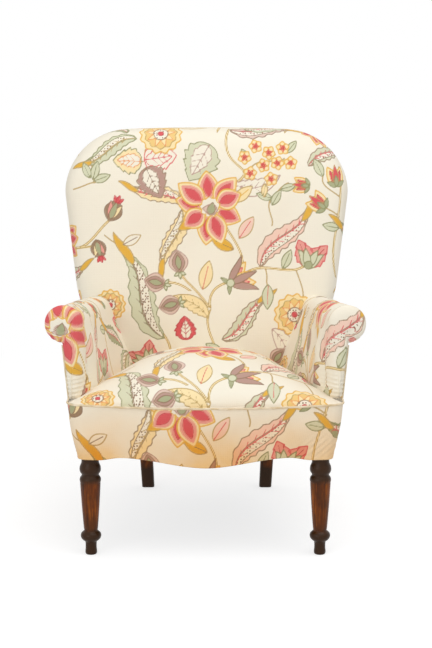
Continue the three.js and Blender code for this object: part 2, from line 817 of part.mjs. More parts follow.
strapXs.forEach((x, n) => {
  const place = { over: (k) => ((k + n) % 2 ? 1 : -1), point: (at, across, z) => point(x + across, at, z) };
  const back = postY - postsFront + railThickness / 2;
  const front = borderFrontY + borderSetback + cloth + wadding + frontRailLip + gap;
  const whole = strap(front, back, strapYs, place);
  piece("webbing_lengthwise_" + (n + 1), without(whole, ...grownPosts), jute);
});
strapYs.forEach((y, n) => {
  const place = { over: (k) => ((k + n) % 2 ? -1 : 1), point: (at, across, z) => point(at, y + across, z) };
  const reach = sideHalf(y + strapWidth / 2, railBottomZ) - cloth - 6;
  piece("webbing_crosswise_" + (n + 1), strap(-reach, reach, strapXs, place), jute);
});
strapYs.forEach((y, row) =>
  strapXs.forEach((x, column) => {
    piece("seat_spring_" + (row * strapXs.length + column + 1), spring(x, y), springSteel);
  }),
);

// Seat: hessian, stuffing, cover, border and the cords along the seams

const seatNeighbours = [...grownArms.values(), grownBack];
const bottomOf = (x, y) => canvasZ(x, y) + hessian + gap;
const insideSeat = (inset) =>
  slab(
    seatGrid(inset, (x, y) => seatTopZ(x, y) - inset),
    seatGrid(inset + stuffingTaper, bottomOf),
  );

const canvasGrid = (lift) => {
  const half = (y) => sideHalf(y, railTopZ) - railThickness / 2;
  return [0, 0.07, 0.14, 0.5, 0.86, 0.93, 1].map((row) => {
    const y = lerp(borderFrontY + railThickness / 2, postsFrontY(railTopZ) - 2 * gap, row);
    return [-1, -0.8, -0.62, 0, 0.62, 0.8, 1].map((column) => {
      const x = column * half(y);
      return point(x, y, canvasZ(x, y) + lift);
    });
  });
};
const seatCanvas = slab(canvasGrid(hessian), canvasGrid(0));
piece("seat_hessian", without(seatCanvas, ...grownLegs, ...grownStumps), jute);

const canvasGrown = slab(canvasGrid(hessian + gap), canvasGrid(-gap));
const seatPad = without(insideSeat(cloth + gap), canvasGrown, ...seatNeighbours, ...boardsThroughBack, ...grownStumps);
piece("seat_stuffing", seatPad, horsehair);

const seatShell = slab(
  seatGrid(0, (x, y) => seatTopZ(x, y) + cordRadius + gap),
  seatGrid(cloth, (x, y) => seatTopZ(x, y) + cordRadius + gap - cloth),
);
piece("seat_cover", without(seatShell, canvasGrown, ...seatNeighbours), printedCloth);

const border = slab(borderGrid(0, cordRadius + gap, 0), borderGrid(cloth, cordRadius + gap, 0));
piece("front_border", without(border, ...grownArms.values()), printedCloth);

const seamPath = borderLine(-gap, borderHalfTop, 0).slice(1, -1);
const seamPoints = seamPath.map(([x, y]) => point(x, y, seatEdgeAt(x)));
piece("seat_cord", without(cordAlong(seamPoints, cordRadius, 32, 5), ...grownArms.values()), printedCloth);

// Arm stuffing, covers and cords
for (const [name, side] of sides) {
  const outer = outsideZone(side, 0);
  const outerSpace = outsideZone(side, -gap);
  const shell = arms.get(name).subtract(armSolid(side, cloth));
  const tucked = boxBetween(point(-600, -200, 0), point(600, 900, armTuckZ));
  const underRoom = boxBetween(point(-600, -200, 0), point(600, 900, borderLegZ + cloth + gap));
  const inside = without(shell, outerSpace, tucked, grownBack, behindCovers, ...grownPosts);
  piece("inside_arm_cover_" + name, inside, printedCloth);
  const panel = without(shell.intersect(outer), grownBack, behindCovers, underRoom);
  piece("outside_arm_cover_" + name, panel, printedCloth);

  const deep = outsideZone(side, -armPadding);
  const hollow = [armCore(side, gap), deep, tucked, grownBack, behindCovers, ...grownPosts];
  const pad = without(armSolid(side, cloth + gap), ...hollow, ...boardsThroughBack);
  piece("arm_stuffing_" + name, pad, horsehair);

  const edge = armFrontY + armNose + cordRadius / 2;
  const cordPoints = range(5).map((share) => {
    const z = lerp(neckTopZ(edge) - cordRadius - gap, borderLegZ + 4, share);
    return point(side * (frontHalf(z) + cordRadius + gap), edge, z);
  });
  piece("arm_cord_" + name, without(cordAlong(cordPoints, cordRadius, 10, 5), border), printedCloth);
}

// Back: hessian, stuffing, covers and cord

piece("back_hessian", backHessian(), jute);
function backHessian() {
  const outline = backOutline(cloth + backRimPadding + 10, stayRailZ + gap);
  const sheet = plate(outline, (z) => postsFrontY(z) - gap - hessian, (z) => postsFrontY(z) - gap);
  return without(sheet, ...boardsThroughBack);
}

const backPad = without(backSolid(cloth + gap), backFrameSpace(gap), behindCovers, ...boardsThroughBack);
piece("back_stuffing", backPad, horsehair);

const backShell = backSolid(0).subtract(backSolid(cloth));
const backOpening = backFrameSpace(0);
const openBack = without(backShell, behindCovers, backOpening, ...boardsThroughBack);
piece("inside_back_cover", openBack, printedCloth);

function rearOutline(inset) {
  const upper = backOutline(inset).filter(([, z]) => z > shoulderZ + 1);
  const lower = [borderLegZ + cloth, railTopZ, sideEdgeZ, 410, backJoinZ, shoulderZ].map((z) => [rearHalf(z) - inset, z]);
  const mirrored = lower.map(([x, z]) => [-x, z]).reverse();
  return [...lower, ...upper, ...mirrored];
}
const backPanel = plate(rearOutline(2 * cordRadius + 4 * gap), (z) => rearFaceY(z) - cloth, rearFaceY);
piece("outside_back_cover", backPanel, printedCloth);

const rearCordPoints = rearOutline(cordRadius + gap).map(([x, z]) => point(x, rearFaceY(z) + 2 * gap, z));
piece("back_cord", cordAlong(rearCordPoints, cordRadius, 64, 5), printedCloth);

// Dust cloth under the seat
function dustCloth() {
  const halfAt = (y) => sideHalf(y, borderLegZ) - cloth - gap - 4;
  const ys = [borderFrontY + borderSetback + borderCorner, 100, 300, rearFaceY(railTopZ) - cloth - 6];
  const right = ys.map((y) => [halfAt(y), y]);
  const left = right.map(([x, y]) => [-x, y]).reverse();
  const ring = (z) => [...right, ...left].map(([x, y]) => point(x, y, z));
  const top = strapZ - weave - hessian / 2 - gap;
  return loft([ring(top), ring(top - 1)]);
}
piece("dust_cloth", without(dustCloth(), ...grownLegs, ...grownPosts), blackCotton);

// The chair's origin is on the floor, in the middle of its outline.
const outline = new THREE.Box3().setFromObject(chair);
chair.position.set(0, -(outline.min.y + outline.max.y) / 2, -outline.min.z);
const armchair = new THREE.Group();
armchair.add(chair);

export default armchair;
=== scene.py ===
"""An old armchair: printed linen over sprung upholstery, on turned legs."""

import json
import math

import bpy
import numpy as np
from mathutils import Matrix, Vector

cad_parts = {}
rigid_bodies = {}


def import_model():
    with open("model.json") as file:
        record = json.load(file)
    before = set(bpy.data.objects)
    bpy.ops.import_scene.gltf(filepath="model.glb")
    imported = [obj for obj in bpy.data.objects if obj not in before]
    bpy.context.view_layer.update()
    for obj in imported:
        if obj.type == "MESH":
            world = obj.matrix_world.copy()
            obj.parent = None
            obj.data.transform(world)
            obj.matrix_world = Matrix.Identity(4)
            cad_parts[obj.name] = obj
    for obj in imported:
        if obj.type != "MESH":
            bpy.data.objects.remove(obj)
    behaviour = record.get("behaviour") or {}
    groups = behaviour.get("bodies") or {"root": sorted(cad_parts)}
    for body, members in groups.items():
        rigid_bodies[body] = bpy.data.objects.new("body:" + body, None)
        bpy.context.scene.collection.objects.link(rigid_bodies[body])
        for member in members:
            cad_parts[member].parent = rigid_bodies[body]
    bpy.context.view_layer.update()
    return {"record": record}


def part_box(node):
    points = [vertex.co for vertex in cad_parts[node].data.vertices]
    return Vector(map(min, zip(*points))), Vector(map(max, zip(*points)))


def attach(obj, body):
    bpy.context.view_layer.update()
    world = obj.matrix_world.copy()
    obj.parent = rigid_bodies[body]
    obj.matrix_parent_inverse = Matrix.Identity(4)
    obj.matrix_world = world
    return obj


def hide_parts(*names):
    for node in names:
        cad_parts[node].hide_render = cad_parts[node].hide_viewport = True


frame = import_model()

# The chair's own sizes in millimetres, as the solids have them. Depths count from the front legs' middle.

low_leg, high_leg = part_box("front_leg_left")
LEG_MIDDLE = (low_leg[1] + high_leg[1]) / 2

# Front border: its half widths, its bow and corners, and the heights of its seam and hem.
BORDER_TOP, BORDER_BOTTOM = 316, 294
BORDER_FRONT, BORDER_BOW, BORDER_CORNER, BORDER_SETBACK = -31, 7, 24, 4
SEAM_Z, SEAM_RISE = 353, 9
DIP_Z, ARCH_Z, LEG_Z, ARCH_X = 213, 237, 231, 195
# Seat: its rear edge, and its dome's height and half widths at the arms' fronts and backs.
SEAT_BACK_Z, SEAT_CROWN, DOME_FRONT, DOME_BACK = 370, 86, 300, 180
SEAT_REAR = 505
# Back: the raked posts, the rear corners' half widths, and the outline's heights and half widths.
POST_Y, RAKE, RAIL_Z = 535, 0.19, 300
REAR_BOTTOM, REAR_JOIN, SHOULDER = 206, 320, 336
JOIN_Z, SHOULDER_Z, BACK_FOOT_Z, BACK_TOP_Z = 456, 534, 336, 943
BACK_HALF, BACK_MOST_Z, BACK_CORNER, BACK_ARCH = 368, 785, 165, 4
BACK_BEHIND = 30
# Arms: front, rounding and rear, the roll's middle and radius at both ends, and the flank's half widths.
ARM_FRONT, ARM_NOSE, ARM_BACK = 30, 14, 480
ROLL_FRONT, ROLL_BACK = (326.5, 535.5, 43.5), (286, 490, 38)
NECK_HALF, NECK_Z = 328, 486
FLANK_FRONT, FLANK_BACK, FLANK_FOOT_Z = 288, 198, SEAM_Z - 20
CORD = 2.4
COVER = 2
SIDE_EDGE_Z = SEAM_Z + SEAM_RISE


def lerp(a, b, t):
    """From a at t = 0 to b at t = 1."""
    return a + (b - a) * t


def smooth(x, a, b):
    """A soft step from 0 at a to 1 at b."""
    t = np.clip((x - a) / (b - a), 0, 1)
    return t * t * (3 - 2 * t)


def linear(code):
    """A #rrggbb colour as linear red, green and blue."""
    parts = [int(code[i : i + 2], 16) / 255 for i in (1, 3, 5)]
    return [c / 12.92 if c < 0.04045 else ((c + 0.055) / 1.055) ** 2.4 for c in parts]


def colour(code):
    return (*linear(code), 1)


def sides_of(spine):
    """Steps of length 1 to the right of a flat line, at each of its points."""
    run = np.gradient(spine, axis=0)
    return np.stack([run[:, 1], -run[:, 0]], 1) / np.linalg.norm(run, axis=1)[:, None]


def evenly(spine, count):
    """A flat line's points spread evenly along it, and how far along it each one is."""
    length = np.concatenate([[0], np.cumsum(np.linalg.norm(np.diff(spine, axis=0), axis=1))])
    even = np.linspace(0, length[-1], count)
    return np.stack([np.interp(even, length, spine[:, k]) for k in (0, 1)], 1), even


def eased(spine, times):
    """A line with its corners softened and its ends where they were."""
    for _ in range(times):
        spine[1:-1] = (spine[:-2] + 2 * spine[1:-1] + spine[2:]) / 4
    return spine


def deselect():
    bpy.ops.object.select_all(action="DESELECT")


deselect()


# Where the chair's outside runs


def up_post(z):
    return POST_Y + np.maximum(0, z - RAIL_Z) * RAKE


def rear_face(z):
    return up_post(z) + BACK_BEHIND


def front_half(z):
    return np.interp(z, [LEG_Z, SIDE_EDGE_Z, NECK_Z], [BORDER_BOTTOM, BORDER_TOP, NECK_HALF])


def rear_half(z):
    return np.interp(z, [LEG_Z, JOIN_Z, SHOULDER_Z], [REAR_BOTTOM, REAR_JOIN, SHOULDER])


def side_half(y, z):
    along = np.clip((y - ARM_FRONT) / (rear_face(z) - ARM_FRONT), 0, 1)
    return lerp(front_half(z), rear_half(z), along)


def back_half(z):
    stations = [BACK_FOOT_Z - 200, BACK_FOOT_Z, JOIN_Z, SHOULDER_Z, BACK_MOST_Z]
    low = float(rear_half(BACK_FOOT_Z)) - 6
    return np.interp(z, stations, [low - 60, low, REAR_JOIN - 6, SHOULDER, BACK_HALF])


def softness(points, size, seed):
    """Cloth gives a little everywhere: slow waves over a surface, the same on every run."""
    rng = np.random.default_rng(seed)
    waves = np.zeros(len(points))
    for _ in range(7):
        heading = rng.normal(size=3)
        heading /= np.linalg.norm(heading)
        length = size * rng.uniform(0.6, 1.7)
        waves += np.sin(points @ heading * 2 * math.pi / length + rng.uniform(0, 6.28)) / 7**0.5
    return waves


# The print: trailing stems with open flowers, seeded leaves, pods, buds and small blossoms, drawn in
# millimetres on the flat cloth. Each shape has a colour and an inked edge, and covers what it lies on.

CREAM = "#f4efdf"
CORAL, PINK, BLUSH, DARK_RED = "#dc5f64", "#eba398", "#f5d3c2", "#c44e52"
GOLD, STRAW, HONEY, ORANGE = "#e6b54a", "#f8e4b2", "#efcd85", "#e79a5c"
SAGE, PALE_SAGE, OLIVE, TAUPE = "#aeb28d", "#d8dabd", "#929469", "#a0886f"
MAUVE, PALE_MAUVE, BROWN, OCHRE = "#bb998d", "#e0c8ba", "#947860", "#bfa367"


def petal(length, width, tip=0.75, count=15, lean=0.0):
    t = np.linspace(0, 1, count)
    half = width / 2 * np.sin(math.pi * t**tip) ** 0.85
    middle = lean * np.sin(math.pi * t / 2) ** 2
    right = np.stack([middle + half, t * length], 1)
    left = np.stack([middle - half, t * length], 1)[::-1]
    return np.concatenate([right[:-1], left[:-1]])


def toothed(length, width, teeth, depth=0.22, count=40):
    """A leaf whose edge runs in teeth that point to its tip."""
    t = np.linspace(0, 1, count)
    half = width / 2 * np.sin(math.pi * t**0.7) ** 0.8 * (1 - depth * ((t * teeth) % 1))
    right = np.stack([half, t * length], 1)
    return np.concatenate([right[:-1], (right * [-1, 1])[::-1][:-1]])


def turned(points, degrees, shift=(0, 0), scale=1.0):
    a = math.radians(degrees)
    c, s = math.cos(a) * scale, math.sin(a) * scale
    return points @ np.array([[c, s], [-s, c]]) + np.array(shift)


def ring(radius, count=14, ruffles=0, depth=0.1):
    a = np.linspace(0, 2 * math.pi, count, endpoint=False)
    r = radius * (1 + depth * np.sin(ruffles * a))
    return np.stack([r * np.cos(a), r * np.sin(a)], 1)


def curve(*corners, count=16):
    """A smooth line between the first and last corner, drawn towards those between."""
    t = np.linspace(0, 1, count)[:, None]
    levels = [np.repeat(np.array(p, float)[None], count, 0) for p in corners]
    while len(levels) > 1:
        levels = [a * (1 - t) + b * t for a, b in zip(levels, levels[1:])]
    return levels[0]


def ribbon(spine, right, left):
    side = sides_of(spine)
    return np.concatenate([spine + side * right, (spine - side * left)[::-1][1:-1]])


def shape(points, fill, ink, seeds=False, edge=1.0):
    return {"points": points, "fill": fill, "ink": ink, "seeds": seeds, "edge": edge, "closed": True}


def line(points, ink, edge=1.0):
    return {"points": points, "fill": None, "ink": ink, "seeds": False, "edge": edge, "closed": False}


def petals(size, length, width, angles, fill, ink, edge=1.0, at=(0, 0), lean=0.0, tip=0.75):
    """Like petals at some angles. Their length, width, place and lean are shares of the flower's size."""
    one = petal(length * size, width * size, tip, lean=lean * size)
    return [shape(turned(one, a, np.array(at) * size), fill, ink, edge=edge) for a in angles]


def open_flower(radius):
    """Nine petals in two rows, each gold, pink and coral from its edge inwards, round a cream heart."""
    parts = []
    for k in [0, 2, 4, 6, 8, 1, 3, 5, 7]:
        turn = k * 40 + 9 * math.sin(k * 2.1)
        long = 1.02 + 0.1 * math.sin(k * 1.7)
        for length, width, tip, start, fill, ink, edge in [
            (long - 0.2, 0.58, 0.85, 0.2, STRAW, GOLD, 0.8),
            (0.67 * long, 0.42, 0.9, 0.25, PINK, PINK, 1.4),
            (0.53 * long, 0.25, 0.95, 0.3, CORAL, DARK_RED, 1.5),
        ]:
            drawn = petal(length * radius, width * radius, tip) + [0, start * radius]
            parts.append(shape(turned(drawn, turn), fill, ink, edge=edge))
    parts.append(shape(ring(0.27 * radius, 28, 9, 0.12), CREAM, GOLD, edge=1.1))
    parts += petals(radius, 0.42, 0.3, [75], PALE_MAUVE, MAUVE, at=(0.2, -0.12))
    return parts + petals(radius, 0.34, 0.22, [-20], SAGE, TAUPE, at=(-0.02, -0.2))


def cup_flower(radius):
    """A half-open flower seen from its side, in a calyx of five long leaves."""
    parts = petals(radius, 1.3, 0.6, (-26, 26), STRAW, GOLD, 0.8)
    parts += petals(radius, 1.0, 0.3, (-24, 24), PINK, CORAL, 1.2)
    parts += petals(radius, 1.25, 0.46, [0], STRAW, GOLD)
    parts += petals(radius, 0.9, 0.22, [0], CORAL, DARK_RED, 1.3)
    for angle, lean in ((-52, -0.3), (52, 0.3), (-8, -0.09)):
        parts += petals(radius, 1.45, 0.36, [angle], MAUVE, BROWN, lean=lean)
    parts += petals(radius, 0.55, 0.2, (-120, 120), SAGE, OLIVE, at=(0, -0.05))
    return [*parts, shape(ring(0.2 * radius), PALE_SAGE, OLIVE)]


def seeded_leaf(length, bend, tint=SAGE, edge_ink=TAUPE, vein=CORAL):
    """A long leaf in an S: a coloured back, a seeded face, a red vein and a golden tip."""
    spine = curve((0, 0), (bend, 0.35 * length), (-0.5 * bend, 0.7 * length), (0.3 * bend, length), count=26)
    t = np.linspace(0, 1, len(spine))[:, None]
    body = np.sin(math.pi * t**0.8) ** 0.75
    frill = 1 + 0.12 * np.sin(t * 44)
    wide = 0.15 * length
    side = sides_of(spine)
    hand = np.sign(bend)
    tip = petal(0.4 * length, 0.1 * length, 0.8, lean=0.1 * length * hand)
    parts = [
        shape(ribbon(spine, wide * body * frill, 0.85 * wide * body * frill), tint, edge_ink),
        shape(ribbon(spine, 0.66 * wide * body, 0.1 * wide * body), CREAM, edge_ink, seeds=True, edge=1.2),
        line(spine[1:-1], vein, 0.95),
        shape(turned(tip, 4 * hand, spine[-5]), GOLD, OCHRE),
    ]
    for k in range(4, len(spine) - 5, 3):
        for reach in (0.5, -0.375):
            end = spine[k + 2] + side[k] * reach * wide * body[k]
            parts.append(line(np.stack([spine[k], end]), vein, 1.3))
    return parts


def pale_leaf(length, bend, tint=CREAM, ink=MAUVE):
    """A wide leaf left almost unprinted, with its veins."""
    spine = curve((0, 0), (bend, 0.4 * length), (0.2 * bend, length), count=20)
    t = np.linspace(0, 1, len(spine))[:, None]
    body = 0.17 * length * np.sin(math.pi * t**0.85) ** 0.8
    side = sides_of(spine)
    parts = [shape(ribbon(spine, body, body * (1 + 0.12 * np.sin(t * 40))), tint, ink), line(spine, ink, 1.2)]
    for k in range(3, len(spine) - 3, 3):
        parts.append(line(np.stack([spine[k], spine[k + 2] + side[k] * 0.55 * body[k]]), ink, 1.5))
        parts.append(line(np.stack([spine[k], spine[k + 2] - side[k] * 0.55 * body[k]]), ink, 1.5))
    return parts


def toothed_leaf(length, tint=PALE_SAGE, ink=OLIVE, vein=MAUVE):
    """A broad leaf with a toothed edge and a pale face."""
    parts = [
        shape(toothed(length, 0.95 * length, 5), tint, ink),
        shape(toothed(0.8 * length, 0.5 * length, 4) + [0.02 * length, 0.05 * length], CREAM, vein, edge=1.2),
        line(np.array([[0, 0], [0, 0.85 * length]]), vein, 1.2),
    ]
    for k in (0.25, 0.42, 0.58):
        for hand in (1, -1):
            rib = np.array([[0, k], [hand * 0.16, k + 0.14]]) * length
            parts.append(line(rib, vein, 1.4))
    return parts


def pod(radius):
    """A round seed pod in three layers, with three small leaves at its foot."""
    parts = petals(radius, 2.1, 1.75, [0], PALE_MAUVE, MAUVE, tip=0.95)
    parts += petals(radius, 1.8, 1.15, [0], MAUVE, TAUPE, 1.1, (0, 0.12), tip=0.95)
    parts += petals(radius, 1.35, 0.55, [0], SAGE, BROWN, 1.1, (0, 0.32), tip=0.95)
    return parts + petals(radius, 0.6, 0.3, (-115, 115, 180), PALE_SAGE, OLIVE, at=(0, 0.08))


def bud(radius, warm=CORAL):
    parts = petals(radius, 1.9, 1.0, (-24, 24), STRAW, GOLD, 0.85)
    parts += petals(radius, 1.5, 0.5, (-22, 22), warm, DARK_RED, 1.3)
    parts += petals(radius, 1.9, 0.62, [0], warm, OCHRE, 1.1)
    return parts + petals(radius, 1.0, 0.42, (-62, 62, 0), SAGE, OLIVE, at=(0, -0.08))


def hairy_bud(radius, warm=CORAL):
    """A ribbed bud ringed with short leaves, its petals just showing."""
    parts = petals(radius, 0.55, 0.3, range(20, 341, 32), SAGE, OLIVE, 1.2, (0, 1))
    parts += petals(radius, 2.0, 1.6, [0], TAUPE, BROWN, tip=0.9)
    for angle, tint in ((20, PINK), (-20, STRAW), (0, SAGE)):
        parts += petals(radius, 1.6, 0.52, [angle], tint, BROWN, 1.2, (0, 0.2))
    return parts + petals(radius, 0.7, 0.34, (-40, 40, 0), warm, DARK_RED, 1.3, (0, 1.72))


def fan_flower(radius):
    """Two toothed coral fans standing out of a green calyx."""
    parts = []
    for a in (-34, 34):
        parts.append(shape(turned(toothed(1.5 * radius, 1.1 * radius, 4), a), PINK, CORAL, edge=0.9))
        for b in (-12, 0, 12):
            rib = np.array([[0, 0.6 * radius], [0, 1.25 * radius]])
            parts.append(line(turned(rib, a + b), DARK_RED, 1.2))
    for angle, lean in ((-58, -0.3), (58, 0.3), (-20, 0), (20, 0)):
        parts += petals(radius, 1.05, 0.42, [angle], PALE_SAGE, OLIVE, at=(0, -0.1), lean=lean)
    return [*parts, shape(ring(0.22 * radius), SAGE, OLIVE)]


def ruffled_flower(radius):
    """A deep golden flower with a ruffled rim and a seeded heart."""
    rim = shape(ring(radius, 56, 13, 0.07), STRAW, GOLD, edge=0.8)
    inner_rim = shape(ring(0.78 * radius, 44, 11, 0.07), HONEY, OCHRE, edge=1.1)
    heart = shape(ring(0.36 * radius, 20), CREAM, BROWN, seeds=True)
    middle = shape(ring(0.14 * radius, 10), CORAL, DARK_RED)
    return [rim, inner_rim, *petals(radius, 0.72, 0.26, range(0, 360, 40), STRAW, ORANGE, 1.2), heart, middle]


def blossom(radius):
    parts = petals(radius, 1.0, 0.82, range(0, 360, 72), STRAW, GOLD, 0.9, tip=1.15)
    parts += petals(radius, 0.55, 0.28, range(36, 390, 72), ORANGE, CORAL, 1.3, tip=1.0)
    return [*parts, shape(ring(0.17 * radius, 8), CORAL, DARK_RED, edge=1.4)]


def small_leaf(length, tint=PALE_SAGE, ink=OLIVE, vein=OLIVE):
    rib = np.array([[0, 0], [0, 0.8 * length]])
    return [shape(petal(length, 0.46 * length, 0.9), tint, ink), line(rib, vein, 1.2)]


def stem(*corners, width=4.4):
    return [shape(ribbon(curve(*corners, count=26), width / 2, width / 2), STRAW, OCHRE, edge=1.25)]


def shoot(*corners):
    return [line(curve(*corners, count=20), OCHRE, 0.8)]


REPEAT_ACROSS, REPEAT_UP = 690, 640
INK_REACH, NO_INK = 7, 9.0


def put(parts, x, y, degrees=0.0, scale=1.0):
    """A motif set down on the repeat, with the box that its ink stays in."""
    placed = [{**p, "points": turned(p["points"], degrees, (x, y), scale)} for p in parts]
    every = np.concatenate([p["points"] for p in placed])
    return {"parts": placed, "low": every.min(0) - INK_REACH - 1, "high": every.max(0) + INK_REACH + 1}


def drawn_repeat():
    """One repeat of the print, from what lies lowest to what covers it. Heights count from the floor."""
    stems = [
        stem((25, 300), (60, 380), (-20, 430), (10, 492)),
        stem((10, 492), (0, 540), (40, 560), (76, 560)),
        stem((10, 492), (-30, 550), (-60, 560), (-66, 584)),
        stem((78, 570), (120, 620), (60, 670), (28, 735)),
        stem((88, 572), (150, 625), (210, 560), (262, 606)),
        stem((-40, 535), (-70, 560), (-100, 560), (-112, 556)),
        stem((-30, 520), (-50, 530), (-60, 520), (-72, 506)),
        stem((60, 960), (20, 850), (100, 850), (130, 838), (62, 800)),
        stem((345, 560), (300, 640), (360, 700), (345, 850)),
        stem((-345, 640), (-300, 640), (-280, 690), (-246, 716)),
        stem((-330, 642), (-290, 650), (-290, 640), (-280, 652)),
        stem((-150, 900), (-165, 880), (-150, 872), (-160, 860)),
        stem((-118, 436), (-60, 380), (-120, 330), (-60, 300), (0, 330)),
        stem((200, 300), (240, 360), (180, 400), (222, 452)),
    ]
    shoots = [
        shoot((165, 770), (150, 740), (175, 720), (168, 700)),
        shoot((165, 770), (185, 785), (190, 800), (210, 808)),
        shoot((165, 770), (140, 790), (120, 800), (104, 812)),
        shoot((110, 842), (140, 880), (180, 850), (200, 870)),
        shoot((345, 720), (320, 740), (310, 740), (300, 748)),
        shoot((345, 770), (320, 790), (290, 800), (300, 826)),
        shoot((230, 588), (240, 560), (250, 540), (248, 516)),
        shoot((150, 594), (160, 570), (150, 560), (158, 548)),
        shoot((-345, 790), (-310, 800), (-300, 810), (-286, 808)),
        shoot((-286, 808), (-300, 830), (-290, 840), (-296, 850)),
        shoot((-262, 676), (-230, 650), (-220, 650), (-208, 655)),
        shoot((88, 330), (130, 360), (150, 330), (168, 352)),
    ]
    placed = [put(s, 0, 0) for s in shoots + stems]
    placed += [
        put(seeded_leaf(155, -36, STRAW, TAUPE, OCHRE), -62, 742, 158),
        put(seeded_leaf(140, 34, STRAW, TAUPE), -60, 752, 74),
        put(seeded_leaf(235, -70, PALE_SAGE, OLIVE, BROWN), -108, 418, 22),
        put(seeded_leaf(185, -52, BLUSH, TAUPE), 138, 596, -44),
        put(seeded_leaf(150, 34, PALE_SAGE), 40, 415, -44),
        put(seeded_leaf(150, 40, PALE_SAGE, OLIVE, OCHRE), -180, 920, 118),
        put(seeded_leaf(165, 40, PALE_MAUVE, BROWN, DARK_RED), 60, 955, -86),
        put(seeded_leaf(130, -30, PALE_SAGE, TAUPE), 262, 850, -62),
        put(seeded_leaf(170, 46, PALE_SAGE, OLIVE), 96, 322, -68),
        put(seeded_leaf(160, 44, SAGE, OLIVE), -205, 300, 62),
        put(pale_leaf(125, 44), 66, 806, -76),
        put(pale_leaf(110, 30, STRAW, OCHRE), 4, 470, 66),
        put(pale_leaf(120, -30), 168, 440, -160),
        put(toothed_leaf(105), 8, 905, 150),
        put(toothed_leaf(84, CREAM, CORAL, CORAL), -160, 866, -82),
        put(toothed_leaf(74, STRAW, OLIVE, ORANGE), -166, 862, 88),
        put(toothed_leaf(86, MAUVE, TAUPE, BROWN), -156, 846, -152),
        put(toothed_leaf(60, CORAL, DARK_RED, DARK_RED), -52, 414, 4),
    ]
    for x, y, degrees, length, tint, vein in [
        (84, 668, -34, 66, BLUSH, CORAL), (70, 640, 66, 62, GOLD, BROWN),
        (158, 552, 178, 62, PALE_SAGE, CORAL), (248, 520, 168, 52, PALE_SAGE, OLIVE),
        (196, 592, -24, 52, PALE_SAGE, OLIVE), (-10, 540, -14, 74, STRAW, CORAL),
        (300, 824, 28, 50, PALE_SAGE, OLIVE), (345, 690, 76, 48, PALE_SAGE, OLIVE),
        (-290, 812, -70, 46, PALE_SAGE, OLIVE), (-292, 816, -14, 48, PALE_SAGE, OLIVE),
        (-300, 820, 26, 44, PALE_SAGE, OLIVE), (168, 768, 72, 42, PALE_SAGE, OLIVE),
        (168, 752, -30, 44, PALE_SAGE, OLIVE), (190, 792, -76, 40, PALE_SAGE, OLIVE),
        (-214, 652, -62, 52, CREAM, BROWN), (108, 862, 30, 36, PALE_SAGE, OLIVE),
        (206, 884, -40, 40, PALE_SAGE, OLIVE), (150, 806, 176, 34, STRAW, OLIVE),
        (40, 380, 60, 48, PALE_SAGE, OLIVE), (-96, 350, -160, 50, PALE_SAGE, OLIVE),
        (216, 400, -70, 48, STRAW, CORAL), (-20, 720, 120, 60, GOLD, ORANGE),
        (70, 760, -50, 62, STRAW, GOLD),
    ]:
        ink = OLIVE if tint == PALE_SAGE else OCHRE
        placed.append(put(small_leaf(length, tint, ink, vein), x, y, degrees))
    placed += [
        put(pod(28), -68, 580, 8),
        put(pod(27), -104, 552, 78),
        put(pod(27), -66, 508, 104),
        put(pod(24), 168, 350, -40),
        put(hairy_bud(29), -250, 712, -24),
        put(hairy_bud(25), -284, 664, 196),
        put(bud(27), 304, 744, 52),
        put(bud(22), 262, 800, 84),
        put(bud(28), 336, 800, 4),
        put(bud(24, ORANGE), -250, 420, 20),
        put(fan_flower(46), 262, 600, -12),
        put(fan_flower(42), -150, 350, 30),
        put(cup_flower(50), 62, 556, -62),
        put(ruffled_flower(52), -118, 936, 0),
        put(ruffled_flower(50), 226, 476, 20),
        put(ruffled_flower(46), -246, 500, 0, 0.8),
        put(open_flower(90), 9, 747, 6),
        put(open_flower(62), 300, 330, 0),
    ]
    spray = [(98, 872), (126, 900), (160, 884), (196, 896), (112, 832), (146, 852), (182, 858), (216, 858)]
    for x, y in [*spray, (166, 818)]:
        placed.append(put(blossom(17.5), x, y, x * 7 % 72))
    return placed


REPEAT = drawn_repeat()


def away_from(points, shape_points, closed):
    """How far points lie from a drawn line, and which of them lie inside it."""
    a = shape_points
    b = np.roll(a, -1, 0)
    if not closed:
        a, b = a[:-1], b[:-1]
    run = b - a
    to = points[:, None] - a[None]
    t = np.clip((to * run).sum(2) / np.maximum((run * run).sum(1), 1e-9), 0, 1)
    gone = np.linalg.norm(to - t[..., None] * run, axis=2).min(1)
    if not closed:
        return gone, np.zeros(len(points), bool)
    above = (a[None, :, 1] > points[:, None, 1]) != (b[None, :, 1] > points[:, None, 1])
    rise = np.where(run[:, 1] == 0, 1e-9, run[:, 1])
    crossing = a[None, :, 0] + (points[:, None, 1] - a[None, :, 1]) * run[None, :, 0] / rise[None]
    return gone, (above & (points[:, None, 0] < crossing)).sum(1) % 2 == 1


